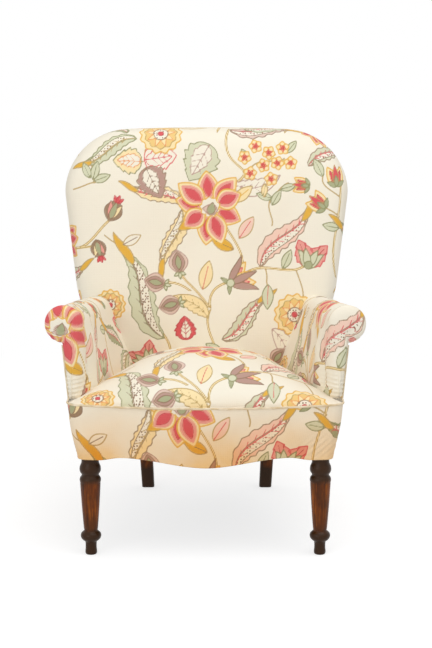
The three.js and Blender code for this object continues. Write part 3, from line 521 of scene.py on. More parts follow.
def printed(uv):
    """The print at points of the cloth: colour, ink, distance from the nearest line, and where seeds lie."""
    fill = np.tile(linear(CREAM), (len(uv), 1))
    ink = np.tile(linear(OCHRE), (len(uv), 1))
    gap = np.full(len(uv), NO_INK)
    seeds = np.zeros(len(uv))
    columns = range(int(uv[:, 0].min() // REPEAT_ACROSS) - 1, int(uv[:, 0].max() // REPEAT_ACROSS) + 2)
    rows = range(int(uv[:, 1].min() // REPEAT_UP) - 2, int(uv[:, 1].max() // REPEAT_UP) + 2)
    for motif in REPEAT:
        for column in columns:
            for row in rows:
                shift = np.array([column * REPEAT_ACROSS, (row + 0.5 * (column % 2)) * REPEAT_UP])
                low, high = motif["low"] + shift, motif["high"] + shift
                near = np.nonzero(((uv > low) & (uv < high)).all(1))[0]
                if not len(near):
                    continue
                here = uv[near] - shift
                for part in motif["parts"]:
                    drawn = part["points"]
                    box = ((here > drawn.min(0) - INK_REACH) & (here < drawn.max(0) + INK_REACH)).all(1)
                    if not box.any():
                        continue
                    at = near[box]
                    gone, inside = away_from(here[box], drawn, part["closed"])
                    gone = gone * part["edge"]
                    inked = (inside | (gone < gap[at])) & (gone < INK_REACH)
                    ink[at[inked]] = linear(part["ink"])
                    gap[at] = np.where(inside, gone, np.minimum(gap[at], gone))
                    if part["fill"]:
                        fill[at[inside]] = linear(part["fill"])
                        seeds[at[inside]] = float(part["seeds"])
    return fill, ink, gap, seeds


# Making a cloth surface: a grid of points, its place on the flat cloth, and the print put on it.


def place(points):
    """Millimetres from the front legs' middle, as metres in the chair's own frame."""
    return points / 1000 + np.array([0, LEG_MIDDLE, 0])


def grid_faces(rows, columns, start=0):
    i, j = np.meshgrid(np.arange(rows - 1), np.arange(columns - 1), indexing="ij")
    a = start + i * columns + j
    return np.stack([a, a + 1, a + columns + 1, a + columns], -1).reshape(-1, 4)


def outward_normals(points):
    """Normals of a grid of points, rows by columns by three."""
    along, across = np.gradient(points, axis=0), np.gradient(points, axis=1)
    n = np.cross(across, along)
    return n / np.maximum(np.linalg.norm(n, axis=2), 1e-9)[..., None]


def everywhere(uv, faces):
    """One place on the flat cloth for each point, which holds for all the faces."""
    return [(uv, np.ones(len(faces), bool))]


def cloth_piece(name, points, faces, islands, wall=0.0):
    """A mesh of printed faces. Each island is the points' places on the cloth, and the faces it holds."""
    mesh = bpy.data.meshes.new(name)
    mesh.from_pydata(place(points).tolist(), [], faces.tolist())
    corners = faces.reshape(-1)
    values = [np.zeros((len(corners), n)) for n in (3, 3, 1, 1, 2)]
    for uv, mask in islands:
        chosen = np.repeat(mask, 4)
        used = np.unique(corners[chosen])
        looked_up = np.zeros(len(points), int)
        looked_up[used] = np.arange(len(used))
        fill, ink, gap, seeds = printed(uv[used])
        at = looked_up[corners[chosen]]
        for k, value in enumerate((fill, ink, gap[:, None], seeds[:, None], uv[used] / 1000)):
            values[k][chosen] = value[at]
    for title, value in zip(("fill", "ink"), values):
        layer = mesh.attributes.new(title, "FLOAT_COLOR", "CORNER")
        layer.data.foreach_set("color", np.concatenate([value, np.ones((len(value), 1))], 1).reshape(-1))
    for title, value in zip(("gap", "seeds"), values[2:4]):
        mesh.attributes.new(title, "FLOAT", "CORNER").data.foreach_set("value", value.reshape(-1))
    mesh.uv_layers.new(name="cloth").data.foreach_set("uv", values[4].reshape(-1))
    mesh.shade_smooth()
    made = bpy.data.objects.new(name, mesh)
    bpy.context.collection.objects.link(made)
    mesh.materials.append(LINEN)
    if wall:
        solid = made.modifiers.new("wall", "SOLIDIFY")
        solid.thickness, solid.offset = wall / 1000, -1
        deselect()
        made.select_set(True)
        bpy.context.view_layer.objects.active = made
        bpy.ops.object.modifier_apply(modifier="wall")
        deselect()
    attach(made, "root")
    return made


# Finishes

# The mix node's colour sockets, and the wave texture's scale at which a wave is two threads, over and under.
FIRST, SECOND, MIXED = 6, 7, 2
TWO_THREADS = 1 / 6.28


def add(tree, kind, inputs=None, **settings):
    """A node with its settings, and with inputs that are plain values or another node's socket to read."""
    node = tree.nodes.new(kind)
    for key, value in settings.items():
        if hasattr(node, key):
            setattr(node, key, value)
        else:
            node.inputs[key.replace("_", " ")].default_value = value
    for socket, source in (inputs or {}).items():
        if isinstance(source, bpy.types.NodeSocket):
            tree.links.new(source, node.inputs[socket])
        else:
            node.inputs[socket].default_value = source
    return node


def new_finish(name, roughness, **shader):
    finish = bpy.data.materials.new(name)
    finish.use_nodes = True
    tree = finish.node_tree
    skin = next(n for n in tree.nodes if n.type == "BSDF_PRINCIPLED")
    skin.inputs["Roughness"].default_value = roughness
    for key, value in shader.items():
        skin.inputs[key.replace("_", " ")].default_value = value
    return finish, tree, skin


def object_place(tree):
    return add(tree, "ShaderNodeTexCoord").outputs["Object"]


def height_up(tree):
    return add(tree, "ShaderNodeSeparateXYZ", {0: object_place(tree)}).outputs["Z"]


def woven_bump(tree, skin, flat, thread, depth):
    """Warp and weft, thread metres from one thread to the next, with slower unevenness in the yarn."""
    scale = TWO_THREADS / thread
    warp = add(tree, "ShaderNodeTexWave", {"Vector": flat}, bands_direction="X", Scale=scale, Distortion=1.5)
    weft = add(tree, "ShaderNodeTexWave", {"Vector": flat}, bands_direction="Y", Scale=scale, Distortion=1.5)
    both = add(tree, "ShaderNodeMath", {0: warp.outputs["Fac"], 1: weft.outputs["Fac"]}, operation="ADD")
    slub = add(tree, "ShaderNodeTexNoise", {"Vector": flat}, Scale=90.0, Detail=3.0)
    sources = {0: slub.outputs["Fac"], 1: 3.0, 2: both.outputs[0]}
    height = add(tree, "ShaderNodeMath", sources, operation="MULTIPLY_ADD")
    bump = add(tree, "ShaderNodeBump", {"Height": height.outputs[0]}, Strength=0.22, Distance=depth)
    tree.links.new(bump.outputs["Normal"], skin.inputs["Normal"])


def yellowing_and_low_shade(tree, fresh):
    """Old cloth yellows in patches. Low down the tint grows much stronger: partly dirt from legs and brooms
    brushing it, partly painted shade and warm light thrown up from the floor.
    """
    # The warm multiply is strongest below 385 mm. There it is part real soiling and part painted shade with
    # painted warm bounce light.
    span = {"From Min": 0.2, "From Max": 0.385, "To Min": 1.75, "To Max": 0.08}
    low = add(tree, "ShaderNodeMapRange", {"Value": height_up(tree), **span})
    patches = add(tree, "ShaderNodeTexNoise", {"Vector": object_place(tree)}, Scale=6.0, Detail=4.0)
    sources = {0: patches.outputs["Fac"], 1: low.outputs[0], 2: 0.035}
    amount = add(tree, "ShaderNodeMath", sources, operation="MULTIPLY_ADD")
    colours = {"Factor": amount.outputs[0], FIRST: fresh, SECOND: colour("#f7c98c")}
    return add(tree, "ShaderNodeMix", colours, data_type="RGBA", blend_type="MULTIPLY").outputs[MIXED]


def printed_linen():
    """Printed linen union: crisp inked lines over flat colours, matt, with the faint sheen of old glazing.

    The real threads are under a millimetre apart and wouldn't show, so they are drawn 2.2 mm apart.
    """
    finish, tree, skin = new_finish("printed_linen", 0.78, Sheen_Weight=0.1, Specular_IOR_Level=0.2)
    fill, ink, gap, seeds = (
        add(tree, "ShaderNodeAttribute", attribute_name=name) for name in ("fill", "ink", "gap", "seeds")
    )
    flat = add(tree, "ShaderNodeUVMap", uv_map="cloth").outputs[0]
    spots = add(tree, "ShaderNodeTexVoronoi", {"Vector": flat}, Scale=140.0, Randomness=0.35)
    span = {"From Min": 0.22, "From Max": 0.34, "To Min": 1.0, "To Max": 0.0}
    dot = add(tree, "ShaderNodeMapRange", {"Value": spots.outputs["Distance"], **span})
    dotted = add(tree, "ShaderNodeMath", {0: dot.outputs[0], 1: seeds.outputs["Fac"]}, operation="MULTIPLY")
    colours = {"Factor": dotted.outputs[0], FIRST: fill.outputs["Color"], SECOND: colour(BROWN)}
    seeded = add(tree, "ShaderNodeMix", colours, data_type="RGBA")
    # An inked line is 1.5 to 2.3 mm to each side of the drawn one, and its edge wavers as on coarse cloth.
    wobble = add(tree, "ShaderNodeTexNoise", {"Vector": flat}, Scale=260.0, Detail=2.0)
    sources = {0: wobble.outputs["Fac"], 1: 0.9, 2: gap.outputs["Fac"]}
    uneven = add(tree, "ShaderNodeMath", sources, operation="MULTIPLY_ADD")
    span = {"From Min": 1.5, "From Max": 2.3, "To Min": 0.88, "To Max": 0.0}
    drawn = add(tree, "ShaderNodeMapRange", {"Value": uneven.outputs[0], **span})
    colours = {"Factor": drawn.outputs[0], FIRST: seeded.outputs[MIXED], SECOND: ink.outputs["Color"]}
    coloured = add(tree, "ShaderNodeMix", colours, data_type="RGBA")
    # Yellowing over the print, with painted shade and warm bounce light low down.
    tree.links.new(yellowing_and_low_shade(tree, coloured.outputs[MIXED]), skin.inputs["Base Color"])
    woven_bump(tree, skin, flat, 0.0022, 0.0006)
    return finish


def two_tones(tree, source, dark, light, low=0.0, high=1.0):
    """A ramp from a dark colour to a light one."""
    ramp = add(tree, "ShaderNodeValToRGB", {"Fac": source})
    first, last = ramp.color_ramp.elements
    first.position, last.position = low, high
    first.color, last.color = colour(dark), colour(light)
    return ramp


def cord_linen():
    """The same linen cut on the cross over piping cord: plain, mottled a little at random, yellowed, and with
    painted shade low down like the printed linen.
    """
    finish, tree, skin = new_finish("cord_linen", 0.82, Sheen_Weight=0.12, Specular_IOR_Level=0.25)
    mottle = add(tree, "ShaderNodeTexNoise", {"Vector": object_place(tree)}, Scale=45.0, Detail=3.0)
    ramp = two_tones(tree, mottle.outputs["Fac"], "#d9c7a2", "#efe6d0", 0.35, 0.65)
    tree.links.new(yellowing_and_low_shade(tree, ramp.outputs["Color"]), skin.inputs["Base Color"])
    woven_bump(tree, skin, object_place(tree), 0.0022, 0.0005)
    return finish


def grained(name, dark, middle, light, roughness, across, along, **shader):
    """Wood: fibres along its height, figures across and along to the metre, with darker pores."""
    finish, tree, skin = new_finish(name, roughness, **shader)
    laid = add(tree, "ShaderNodeMapping", {"Vector": object_place(tree)}, Scale=(across, across, along))
    swirl = {"Scale": 1.0, "Detail": 6.0, "Roughness": 0.62, "Distortion": 0.6}
    figure = add(tree, "ShaderNodeTexNoise", {"Vector": laid.outputs[0]}, **swirl)
    ramp = two_tones(tree, figure.outputs["Fac"], dark, light, 0.3, 0.72)
    ramp.color_ramp.elements.new(0.5).color = colour(middle)
    bump = add(tree, "ShaderNodeBump", {"Height": figure.outputs["Fac"]}, Strength=0.12, Distance=0.0006)
    tree.links.new(bump.outputs["Normal"], skin.inputs["Normal"])
    return finish, tree, skin, ramp.outputs["Color"]


def polished_walnut():
    """French-polished walnut: red-brown where hands and dusters rub it, near black where polish gathers."""
    finish, tree, skin, wood = grained(
        "polished_walnut", "#331606", "#6b330a", "#9c540d", 0.36, 160, 9,
        Coat_Weight=0.04, Coat_Roughness=0.2, Specular_IOR_Level=0.15,
    )
    # The plain taper between the turned rings is rubbed bright. The rings and the foot stay dark.
    bands = add(tree, "ShaderNodeValToRGB", {"Fac": height_up(tree)})
    bands.color_ramp.interpolation = "EASE"
    stops = bands.color_ramp.elements
    stops[0].position, stops[1].position = 0.05, 0.185
    stops[0].color = stops[1].color = (0.1, 0.1, 0.1, 1)
    for at, level in ((0.066, 0.75), (0.11, 0.95), (0.165, 0.85)):
        stops.new(at).color = (level, level, level, 1)
    patchy = add(tree, "ShaderNodeTexNoise", {"Vector": object_place(tree)}, Scale=28.0, Detail=4.0)
    sources = {0: bands.outputs["Color"], 1: patchy.outputs["Fac"]}
    kept = add(tree, "ShaderNodeMath", sources, operation="MULTIPLY")
    worn = add(tree, "ShaderNodeMapRange", {"Value": kept.outputs[0]}, From_Min=0.08, From_Max=0.55)
    colours = {"Factor": worn.outputs[0], FIRST: colour("#38220f"), SECOND: wood}
    mixed = add(tree, "ShaderNodeMix", colours, data_type="RGBA")
    tree.links.new(mixed.outputs[MIXED], skin.inputs["Base Color"])
    return finish


def raw_beech():
    """Unpolished beech, sawn and planed: pale, with a dry matt face."""
    finish, tree, skin, wood = grained("raw_beech", "#8d6a45", "#b98f63", "#cfa97e", 0.7, 60, 14)
    tree.links.new(wood, skin.inputs["Base Color"])
    return finish


def coarse_weave(name, dark, light, thread):
    """Plain-woven jute, cotton or matted hair: two tones of yarn over and under each other, quite matt."""
    finish, tree, skin = new_finish(name, 0.9)
    flat = object_place(tree)
    yarn = add(tree, "ShaderNodeTexNoise", {"Vector": flat}, Scale=0.5 / thread, Detail=4.0)
    ramp = two_tones(tree, yarn.outputs["Fac"], dark, light)
    tree.links.new(ramp.outputs["Color"], skin.inputs["Base Color"])
    woven_bump(tree, skin, flat, thread, 0.0008)
    return finish


def spring_wire():
    """Coppered steel wire: a brown metal, dulled and spotted by age."""
    finish, tree, skin = new_finish("spring_wire", 0.45, Metallic=1.0)
    spots = add(tree, "ShaderNodeTexNoise", {"Vector": object_place(tree)}, Scale=120.0, Detail=3.0)
    ramp = two_tones(tree, spots.outputs["Fac"], "#5d4636", "#a07a5c")
    tree.links.new(ramp.outputs["Color"], skin.inputs["Base Color"])
    return finish


LINEN, CORD_LINEN, WALNUT, BEECH = printed_linen(), cord_linen(), polished_walnut(), raw_beech()
JUTE = coarse_weave("jute_webbing", "#7d6239", "#b99c69", 0.003)
HESSIAN = coarse_weave("hessian", "#8a6f47", "#c1a678", 0.0025)
CAMBRIC = coarse_weave("black_cambric", "#141312", "#2b2927", 0.0015)
HAIR = coarse_weave("curled_hair", "#241e1a", "#4a3f36", 0.004)
WIRE = spring_wire()

SLOT_FINISH = {
    "show_wood": WALNUT,
    "frame_wood": BEECH,
    "spring_steel": WIRE,
    "jute_webbing": JUTE,
    "hessian": HESSIAN,
    "stuffing": HAIR,
    "dust_cloth": CAMBRIC,
    "cord_cloth": CORD_LINEN,
    "printed_cloth": LINEN,
}
for part in frame["record"]["subparts"]:
    node = bpy.data.objects[part["node"]]
    for slot in node.material_slots:
        slot.material = SLOT_FINISH[part["material_slot"]]
    if not node.material_slots:
        node.data.materials.append(SLOT_FINISH[part["material_slot"]])


# Back: the cloth is one flat piece that runs over the front, turns round the rim and ends behind.


def back_line():
    """The back's outline from the lower right round the top to the lower left, evenly spaced."""
    z = np.linspace(BACK_FOOT_Z - 150, BACK_TOP_Z - BACK_ARCH - BACK_CORNER, 60)
    x = back_half(z)
    a = np.linspace(0, math.pi / 2, 40)[1:]
    corner_x, corner_z = BACK_HALF - BACK_CORNER, BACK_TOP_Z - BACK_ARCH - BACK_CORNER
    arc = np.stack([corner_x + BACK_CORNER * np.cos(a), corner_z + BACK_CORNER * np.sin(a)], 1)
    top = np.linspace(corner_x, 0, 30)[1:]
    crown = np.stack([top, BACK_TOP_Z - BACK_ARCH * (top / corner_x) ** 2], 1)
    right = np.concatenate([np.stack([x, z], 1), arc, crown])
    whole, _ = evenly(np.concatenate([right, (right * [-1, 1])[::-1][1:]]), 460)
    return eased(whole, 14)


# The back's rim, from the cloth's hidden rear edge to the flat of the front: inset and depth.
BACK_RIM = [
    (7, 29), (2.5, 26), (0.8, 20), (0, 8), (0.5, -6), (3, -17), (8, -28), (17, -38.5),
    (32, -47), (58, -53.5), (95, -58), (140, -61), (190, -62), (420, -62),
]


def softened(values, window=41):
    half = window // 2
    padded = np.concatenate([np.full(half, values[0]), values, np.full(half, values[-1])])
    return np.convolve(padded, np.ones(window) / window, "valid")


def rim_profile():
    """The rim as a fine soft curve: length along it, inset and depth."""
    inset, depth = np.array(BACK_RIM, float).T
    fine = np.linspace(0, len(BACK_RIM) - 1, 500)
    steps = np.arange(len(BACK_RIM))
    inset, depth = (softened(np.interp(fine, steps, values)) for values in (inset, depth))
    length = np.concatenate([[0], np.cumsum(np.hypot(np.diff(inset), np.diff(depth)))])
    return length, inset, depth


def back_surface():
    outline = back_line()
    outward = sides_of(outline)
    length, inset, depth = rim_profile()
    spare = float(np.interp(200, inset, length)) - 200
    edge = outline + outward * spare
    corner = int(np.argmin(np.abs(outline[:230, 1] - outline[:230, 0] - (BACK_TOP_Z - BACK_HALF))))
    rows, columns = 268, 316
    first = int(np.argmin(np.abs(edge[:200, 1] - BACK_FOOT_Z)))
    last = len(edge) - 1
    right, _ = evenly(edge[first : corner + 1], rows)
    top = evenly(edge[corner : last - corner + 1], columns)[0][::-1]
    left = evenly(edge[last - corner : last - first + 1], rows)[0][::-1]
    bottom = np.linspace(left[0], right[0], columns)
    u, v = np.linspace(0, 1, columns)[None, :, None], np.linspace(0, 1, rows)[:, None, None]
    flat = (
        (1 - u) * left[:, None] + u * right[:, None] + (1 - v) * bottom[None] + v * top[None]
        - (1 - u) * (1 - v) * left[0] - u * (1 - v) * right[0] - (1 - u) * v * left[-1] - u * v * right[-1]
    ).reshape(-1, 2)
    near = np.empty(len(flat), int)
    gone = np.empty(len(flat))
    for start in range(0, len(flat), 4000):
        d = np.linalg.norm(flat[start : start + 4000, None] - edge[None], axis=2)
        near[start : start + 4000] = d.argmin(1)
        gone[start : start + 4000] = d.min(1)
    inward = -outward[near]
    in_now, depth_now = np.interp(gone, length, inset), np.interp(gone, length, depth)
    shift = (in_now - (gone - spare))[:, None] * inward
    xz = flat + shift * smooth(gone, 330, 200)[:, None]
    x, z = xz[:, 0], xz[:, 1]
    lumbar = 7 * np.exp(-(((z - 470) / 90) ** 2)) * np.exp(-((x / 210) ** 2))
    tired = 5 * np.exp(-(((z - 640) / 110) ** 2)) * np.exp(-((x / 190) ** 2))
    y = up_post(z) + depth_now - lumbar + tired
    points = np.stack([x, y, z], 1)
    grid = points.reshape(rows, columns, 3)
    normal = outward_normals(grid).reshape(-1, 3)
    points = points + normal * (1.1 * softness(points, 130, 3) * smooth(gone, 30, 90))[:, None]
    return points, flat, rows, columns


def make_padded(name, points, faces, islands, replaced, merge=0.0):
    """A stuffed piece: printed cloth, closed behind by one fan. Points nearer than merge are joined first."""
    made = cloth_piece(name, points, faces, islands)
    deselect()
    bpy.context.view_layer.objects.active = made
    made.select_set(True)
    bpy.ops.object.mode_set(mode="EDIT")
    if merge:
        bpy.ops.mesh.select_all(action="SELECT")
        bpy.ops.mesh.remove_doubles(threshold=merge)
    bpy.ops.mesh.select_all(action="DESELECT")
    bpy.ops.mesh.select_mode(type="EDGE")
    bpy.ops.mesh.select_non_manifold(
        extend=False, use_wire=False, use_multi_face=False, use_non_contiguous=False, use_verts=False
    )
    bpy.ops.mesh.edge_face_add()
    bpy.ops.mesh.poke()
    bpy.ops.mesh.select_all(action="SELECT")
    bpy.ops.mesh.normals_make_consistent(inside=False)
    bpy.ops.object.mode_set(mode="OBJECT")
    deselect()
    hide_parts(*replaced)


def make_back():
    points, flat, rows, columns = back_surface()
    faces = grid_faces(rows, columns)
    replaced = ["inside_back_cover", "back_stuffing"]
    make_padded("back_upholstery", points, faces, everywhere(flat, faces), replaced)


make_back()


# Seat: from the seam at the front, up over the roll and back under the arms and the back.


def seat_front(x):
    over = np.maximum(0, np.abs(x) - (BORDER_TOP - BORDER_CORNER))
    corner = BORDER_CORNER - np.sqrt(np.maximum(0, BORDER_CORNER**2 - over**2))
    share = np.minimum(1, np.abs(x) / (BORDER_TOP - BORDER_CORNER))
    return BORDER_FRONT - BORDER_BOW * (1 - share**2) + corner


def seam_z(x):
    return SEAM_Z + SEAM_RISE * (x / BORDER_TOP) ** 2


def seat_top(x, y):
    back = float(up_post(SEAT_BACK_Z))
    along = np.clip((y - BORDER_FRONT) / (back - BORDER_FRONT), 0, 1)
    half = np.interp(y, [BORDER_FRONT, ARM_FRONT, ARM_BACK], [BORDER_TOP, DOME_FRONT, DOME_BACK])
    across = np.clip(np.abs(x) / half, 0, 1)
    edge = lerp(seam_z(x), SEAT_BACK_Z - 8, smooth(along, 0.1, 1))
    swell = np.maximum(0, np.sin(math.pi * along**0.62)) ** 0.9 + 0.12 * along
    tucked = 18 * smooth(y, 230, 440) * smooth(across, 0.7, 1)
    return edge + SEAT_CROWN * swell * (1 - across**2) + CORD * 0.6 - tucked


def seat_half(y):
    """Half the seat's width at a depth: full width before the arms, then just inside their flanks."""
    between = (y - ARM_FRONT) / (ARM_BACK - ARM_FRONT)
    flank = lerp(FLANK_FRONT, FLANK_BACK, between) + 8 + 10 * smooth(y, 90, 40)
    return lerp(BORDER_TOP, flank, smooth(y, 26, 46))


def make_seat():
    rows, columns = 236, 246
    share = np.linspace(-1, 1, columns)
    share = np.sin(share * math.pi / 2) * 0.12 + share * 0.88
    fine = np.linspace(0, 1, 900) ** 2.2
    sheet, flat = np.zeros((rows, columns, 3)), np.zeros((rows, columns, 2))
    for j, s in enumerate(share):
        start = float(seat_front(np.array(s * BORDER_TOP)))
        y = start + (SEAT_REAR - start) * fine
        x = s * seat_half(y)
        z = seat_top(x, y)
        length = np.concatenate([[0], np.cumsum(np.hypot(np.diff(y), np.diff(z)))])
        even = np.linspace(0, length[-1], rows)
        sheet[:, j] = np.stack([np.interp(even, length, v) for v in (x, y, z)], 1)
        flat[:, j] = np.stack([np.interp(even, length, x), even], 1)
    normal = outward_normals(sheet)
    points, n = sheet.reshape(-1, 3), normal.reshape(-1, 3)
    x, y = points[:, 0], points[:, 1]
    inner = smooth(np.abs(y - BORDER_FRONT), 12, 60)
    soft = 1.6 * softness(points, 120, 11) * inner
    hollow = -2 * np.exp(-((x / 150) ** 2) - ((y - 240) / 130) ** 2)
    points = points + n * (soft + hollow)[:, None]
    faces = grid_faces(rows, columns)
    uv = flat.reshape(-1, 2) * [1, 0.9] + [0, 478]
    replaced = ["seat_cover", "seat_stuffing"]
    make_padded("seat_upholstery", points, faces, everywhere(uv, faces), replaced)


make_seat()


# Front border: one strip round both corners, with a wavy hem.


def border_path(half, setback, count):
    """The border round the front from side to side, evenly spaced, and how far along each point is."""
    flat, front = half - BORDER_CORNER, BORDER_FRONT + setback
    a = np.linspace(0, math.pi / 2, 24)
    turn_y = front + BORDER_CORNER
    side = np.stack([np.full(12, half), np.linspace(ARM_FRONT + ARM_NOSE + 2, turn_y, 13)[:-1]], 1)
    corner = np.stack([flat + BORDER_CORNER * np.cos(a), turn_y - BORDER_CORNER * np.sin(a)], 1)
    s = np.linspace(1, 0, 60)[1:]
    bow = np.stack([flat * s, front - BORDER_BOW * (1 - s**2)], 1)
    right = np.concatenate([side, corner, bow])
    whole, even = evenly(np.concatenate([(right * [-1, 1]), right[::-1][1:]]), count)
    return whole, even - even[-1] / 2


def hem_z(x):
    across = np.abs(x)
    rise = (ARCH_Z - DIP_Z) * smooth(across, 0, ARCH_X)
    fall = (ARCH_Z - LEG_Z) * smooth(across, ARCH_X, ARCH_X + 50)
    return DIP_Z + rise - fall


def make_border():
    rows, columns = 54, 300
    top, along = border_path(BORDER_TOP, 0, columns)
    bottom, _ = border_path(BORDER_BOTTOM, BORDER_SETBACK, columns)
    high, low = seam_z(top[:, 0]) - 1.2, hem_z(bottom[:, 0])
    share = np.linspace(0, 1, rows)[:, None]
    xy = lerp(bottom[None], top[None], share[..., None])
    z = lerp(low[None], high[None], share)
    sheet = np.concatenate([xy, z[..., None]], 2)
    normal = -outward_normals(sheet)
    normal *= np.sign((normal * (sheet * [1, 1, 0] - [0, 200, 0])).sum(2))[..., None]
    points, n = sheet.reshape(-1, 3), normal.reshape(-1, 3)
    x, z = points[:, 0], points[:, 2]
    up = np.repeat(share, columns, 1).reshape(-1)
    full = np.sin(math.pi * up) ** 0.7
    crease = 1.5 * np.exp(-(((x - 262) / 34) ** 2) - ((z - 262) / 22) ** 2) * np.sin((z - 0.9 * x) * 0.42)
    hem = 1.0 * np.exp(-((up * 26) ** 2))
    push = 2.2 * full + 0.9 * softness(points, 90, 21) + crease + hem
    points = points + n * push[:, None]
    uv = np.stack([np.tile(along, rows), (points[:, 2] - np.tile(seam_z(top[:, 0]), rows))], 1) + [65, 742]
    faces = grid_faces(rows, columns)
    made = cloth_piece("border_linen", points, faces, everywhere(uv, faces), wall=COVER)
    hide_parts("front_border")


make_border()


# Arms: one cloth over the flank, the roll and its round front end, with a facing below the roll.


def arm_ring(share, shrink, count):
    """An arm's open section on its right side, from the flank's foot over the roll and down outside.

    share runs from the arm's front to its rear. shrink is 1 at the very front, where the section is least.
    """
    y = lerp(ARM_FRONT, ARM_BACK, share)
    centre_x, centre_z, radius = (lerp(a, b, share) for a, b in zip(ROLL_FRONT, ROLL_BACK))
    radius -= shrink * 28
    drawn = shrink * 8
    flank_z, flank_x = lerp(SEAM_Z, SEAT_BACK_Z, share), lerp(FLANK_FRONT, FLANK_BACK, share) + shrink * 26
    to_x, to_z = centre_x - flank_x, centre_z - flank_z
    start = math.pi - (math.atan2(to_x, to_z) - math.asin(radius / math.hypot(to_x, to_z)))

    def outside(z):
        return float(side_half(y, z)) - drawn

    overhang = np.clip((outside(centre_z - radius) - centre_x) / radius, -0.9, 0.98)
    end = -math.acos(overhang)
    a = np.linspace(start, end, 60)
    roll = np.stack([centre_x + radius * np.cos(a), centre_z + radius * np.sin(a)], 1)
    slope = (flank_x - roll[0, 0]) / (flank_z - roll[0, 1])
    foot = np.array([[flank_x + slope * (FLANK_FOOT_Z - flank_z), FLANK_FOOT_Z]])
    skirt_z = np.linspace(float(roll[-1, 1]), FLANK_FOOT_Z, 20)[1:]
    skirt = np.stack([[outside(z) for z in skirt_z], skirt_z], 1)
    section, even = evenly(np.concatenate([foot, roll, skirt]), count)
    return eased(section, 3), y, even


# Where each arm's facing lies on the flat cloth, and the steps of the rounding at its front.
ARM_PRINT = {"left": (344, 219), "right": (-110, 158)}
NOSE_RINGS = 16


def pull(x, z):
    """The small folds that the cloth makes across an arm's front, just over the seat."""
    return np.exp(-(((z - 385) / 34) ** 2)) * np.sin(z * 0.62 + 0.05 * x)


def make_arm(name, side):
    count, turns = 256, np.linspace(0, 1, NOSE_RINGS + 1)
    rings, depths, lengths = [], [], []
    for turn in turns:
        angle = turn * math.pi / 2
        points, _, even = arm_ring(0, 1 - math.sin(angle), count)
        rings.append(points)
        depths.append(ARM_FRONT + ARM_NOSE * (1 - math.cos(angle)))
        lengths.append(even)
    last_share = (float(rear_face(520)) - 34 - ARM_FRONT) / (ARM_BACK - ARM_FRONT)
    steps = 186
    for share in np.linspace(0, last_share, steps + 1)[1:]:
        y = lerp(ARM_FRONT, ARM_BACK, share)
        if y <= ARM_FRONT + ARM_NOSE + 1:
            continue
        points, y, even = arm_ring(share, 0, count)
        rings.append(points)
        depths.append(y)
        lengths.append(even)
    rows = len(rings)
    body = np.zeros((rows, count, 3))
    for i in range(rows):
        # The flank turns into the front on a wider round than the roll does.
        on_flank = 1 - smooth(lengths[i], 120, 215)
        if i <= NOSE_RINGS:
            wider = 1 - math.cos(turns[i] * math.pi / 2)
        else:
            wider = math.exp(-(depths[i] - depths[NOSE_RINGS]) / 55)
        full = 19 * math.exp(-(((depths[i] - 100) / 62) ** 2))
        body[i, :, 0] = side * (rings[i][:, 0] - full * on_flank)
        body[i, :, 1] = depths[i] + 30 * wider * on_flank
        body[i, :, 2] = rings[i][:, 1]
    normal = outward_normals(body) * -side
    points = body.reshape(-1, 3)
    n = normal.reshape(-1, 3)
    x, y, z = np.abs(points[:, 0]), points[:, 1], points[:, 2]
    near_front = np.exp(-(((y - ARM_FRONT) / 60) ** 2))
    pulls = near_front * pull(x, z)
    neck = 1.3 * np.exp(-(((z - 492) / 16) ** 2)) * near_front * np.sin(x * 0.5 + y * 0.4)
    soft = 1.2 * softness(points, 110, 31 + side) * smooth(y, ARM_FRONT, ARM_FRONT + 60)
    points = points + n * (pulls + neck + soft)[:, None]
    faces = grid_faces(rows, count)
    if side > 0:
        faces = faces[:, ::-1]
    # The facing: strips from the inner edge of the front to the outer one.
    half, across = count // 2, 18
    first = points[:count]
    inner, outer = first[:half], first[::-1][:half]
    t = np.linspace(0, 1, across)[None, :, None]
    front = inner[:, None] * (1 - t) + outer[:, None] * t
    bulge = 2.6 * np.sin(math.pi * t[..., 0]) ** 0.8 * np.ones((half, 1))
    front[..., 1] -= bulge
    zf = front[..., 2]
    front[..., 1] -= pull(np.abs(front[..., 0]), zf)
    front_points = front.reshape(-1, 3)
    front_faces = grid_faces(half, across, start=len(points))
    if side < 0:
        front_faces = front_faces[:, ::-1]
    everything = np.concatenate([points, front_points])
    nose = NOSE_RINGS * (count - 1)
    whole_faces = np.concatenate([faces, front_faces])
    on_front = np.zeros(len(whole_faces), bool)
    on_front[:nose] = True
    on_front[len(faces) :] = True
    # The print runs on from the facing round the nose, and from there back along the flank.
    flat = np.zeros((NOSE_RINGS + 1, count, 2))
    flat[0] = body[0][:, [0, 2]]
    heading = body[NOSE_RINGS][:, [0, 2]] - body[0][:, [0, 2]]
    heading /= np.linalg.norm(heading, axis=1)[:, None]
    for k in range(1, NOSE_RINGS + 1):
        flat[k] = flat[k - 1] + heading * np.linalg.norm(body[k] - body[k - 1], axis=1)[:, None]
    match = ARM_PRINT[name]
    uv_front = everything[:, [0, 2]] + match
    uv_front[: (NOSE_RINGS + 1) * count] = flat.reshape(-1, 2) + match
    turn_u = float(flat[NOSE_RINGS, count // 8, 0])
    back_u = turn_u - side * (body[..., 1] - body[NOSE_RINGS, count // 8, 1])
    uv_body = np.stack([back_u.reshape(-1), FLANK_FOOT_Z + np.concatenate(lengths)], 1) + match
    uv_all = np.concatenate([uv_body, np.zeros((len(front_points), 2))])
    islands = [(uv_all, ~on_front), (uv_front, on_front)]
    replaced = ["inside_arm_cover_" + name, "arm_stuffing_" + name]
    make_padded("arm_upholstery_" + name, everything, whole_faces, islands, replaced, merge=0.0004)


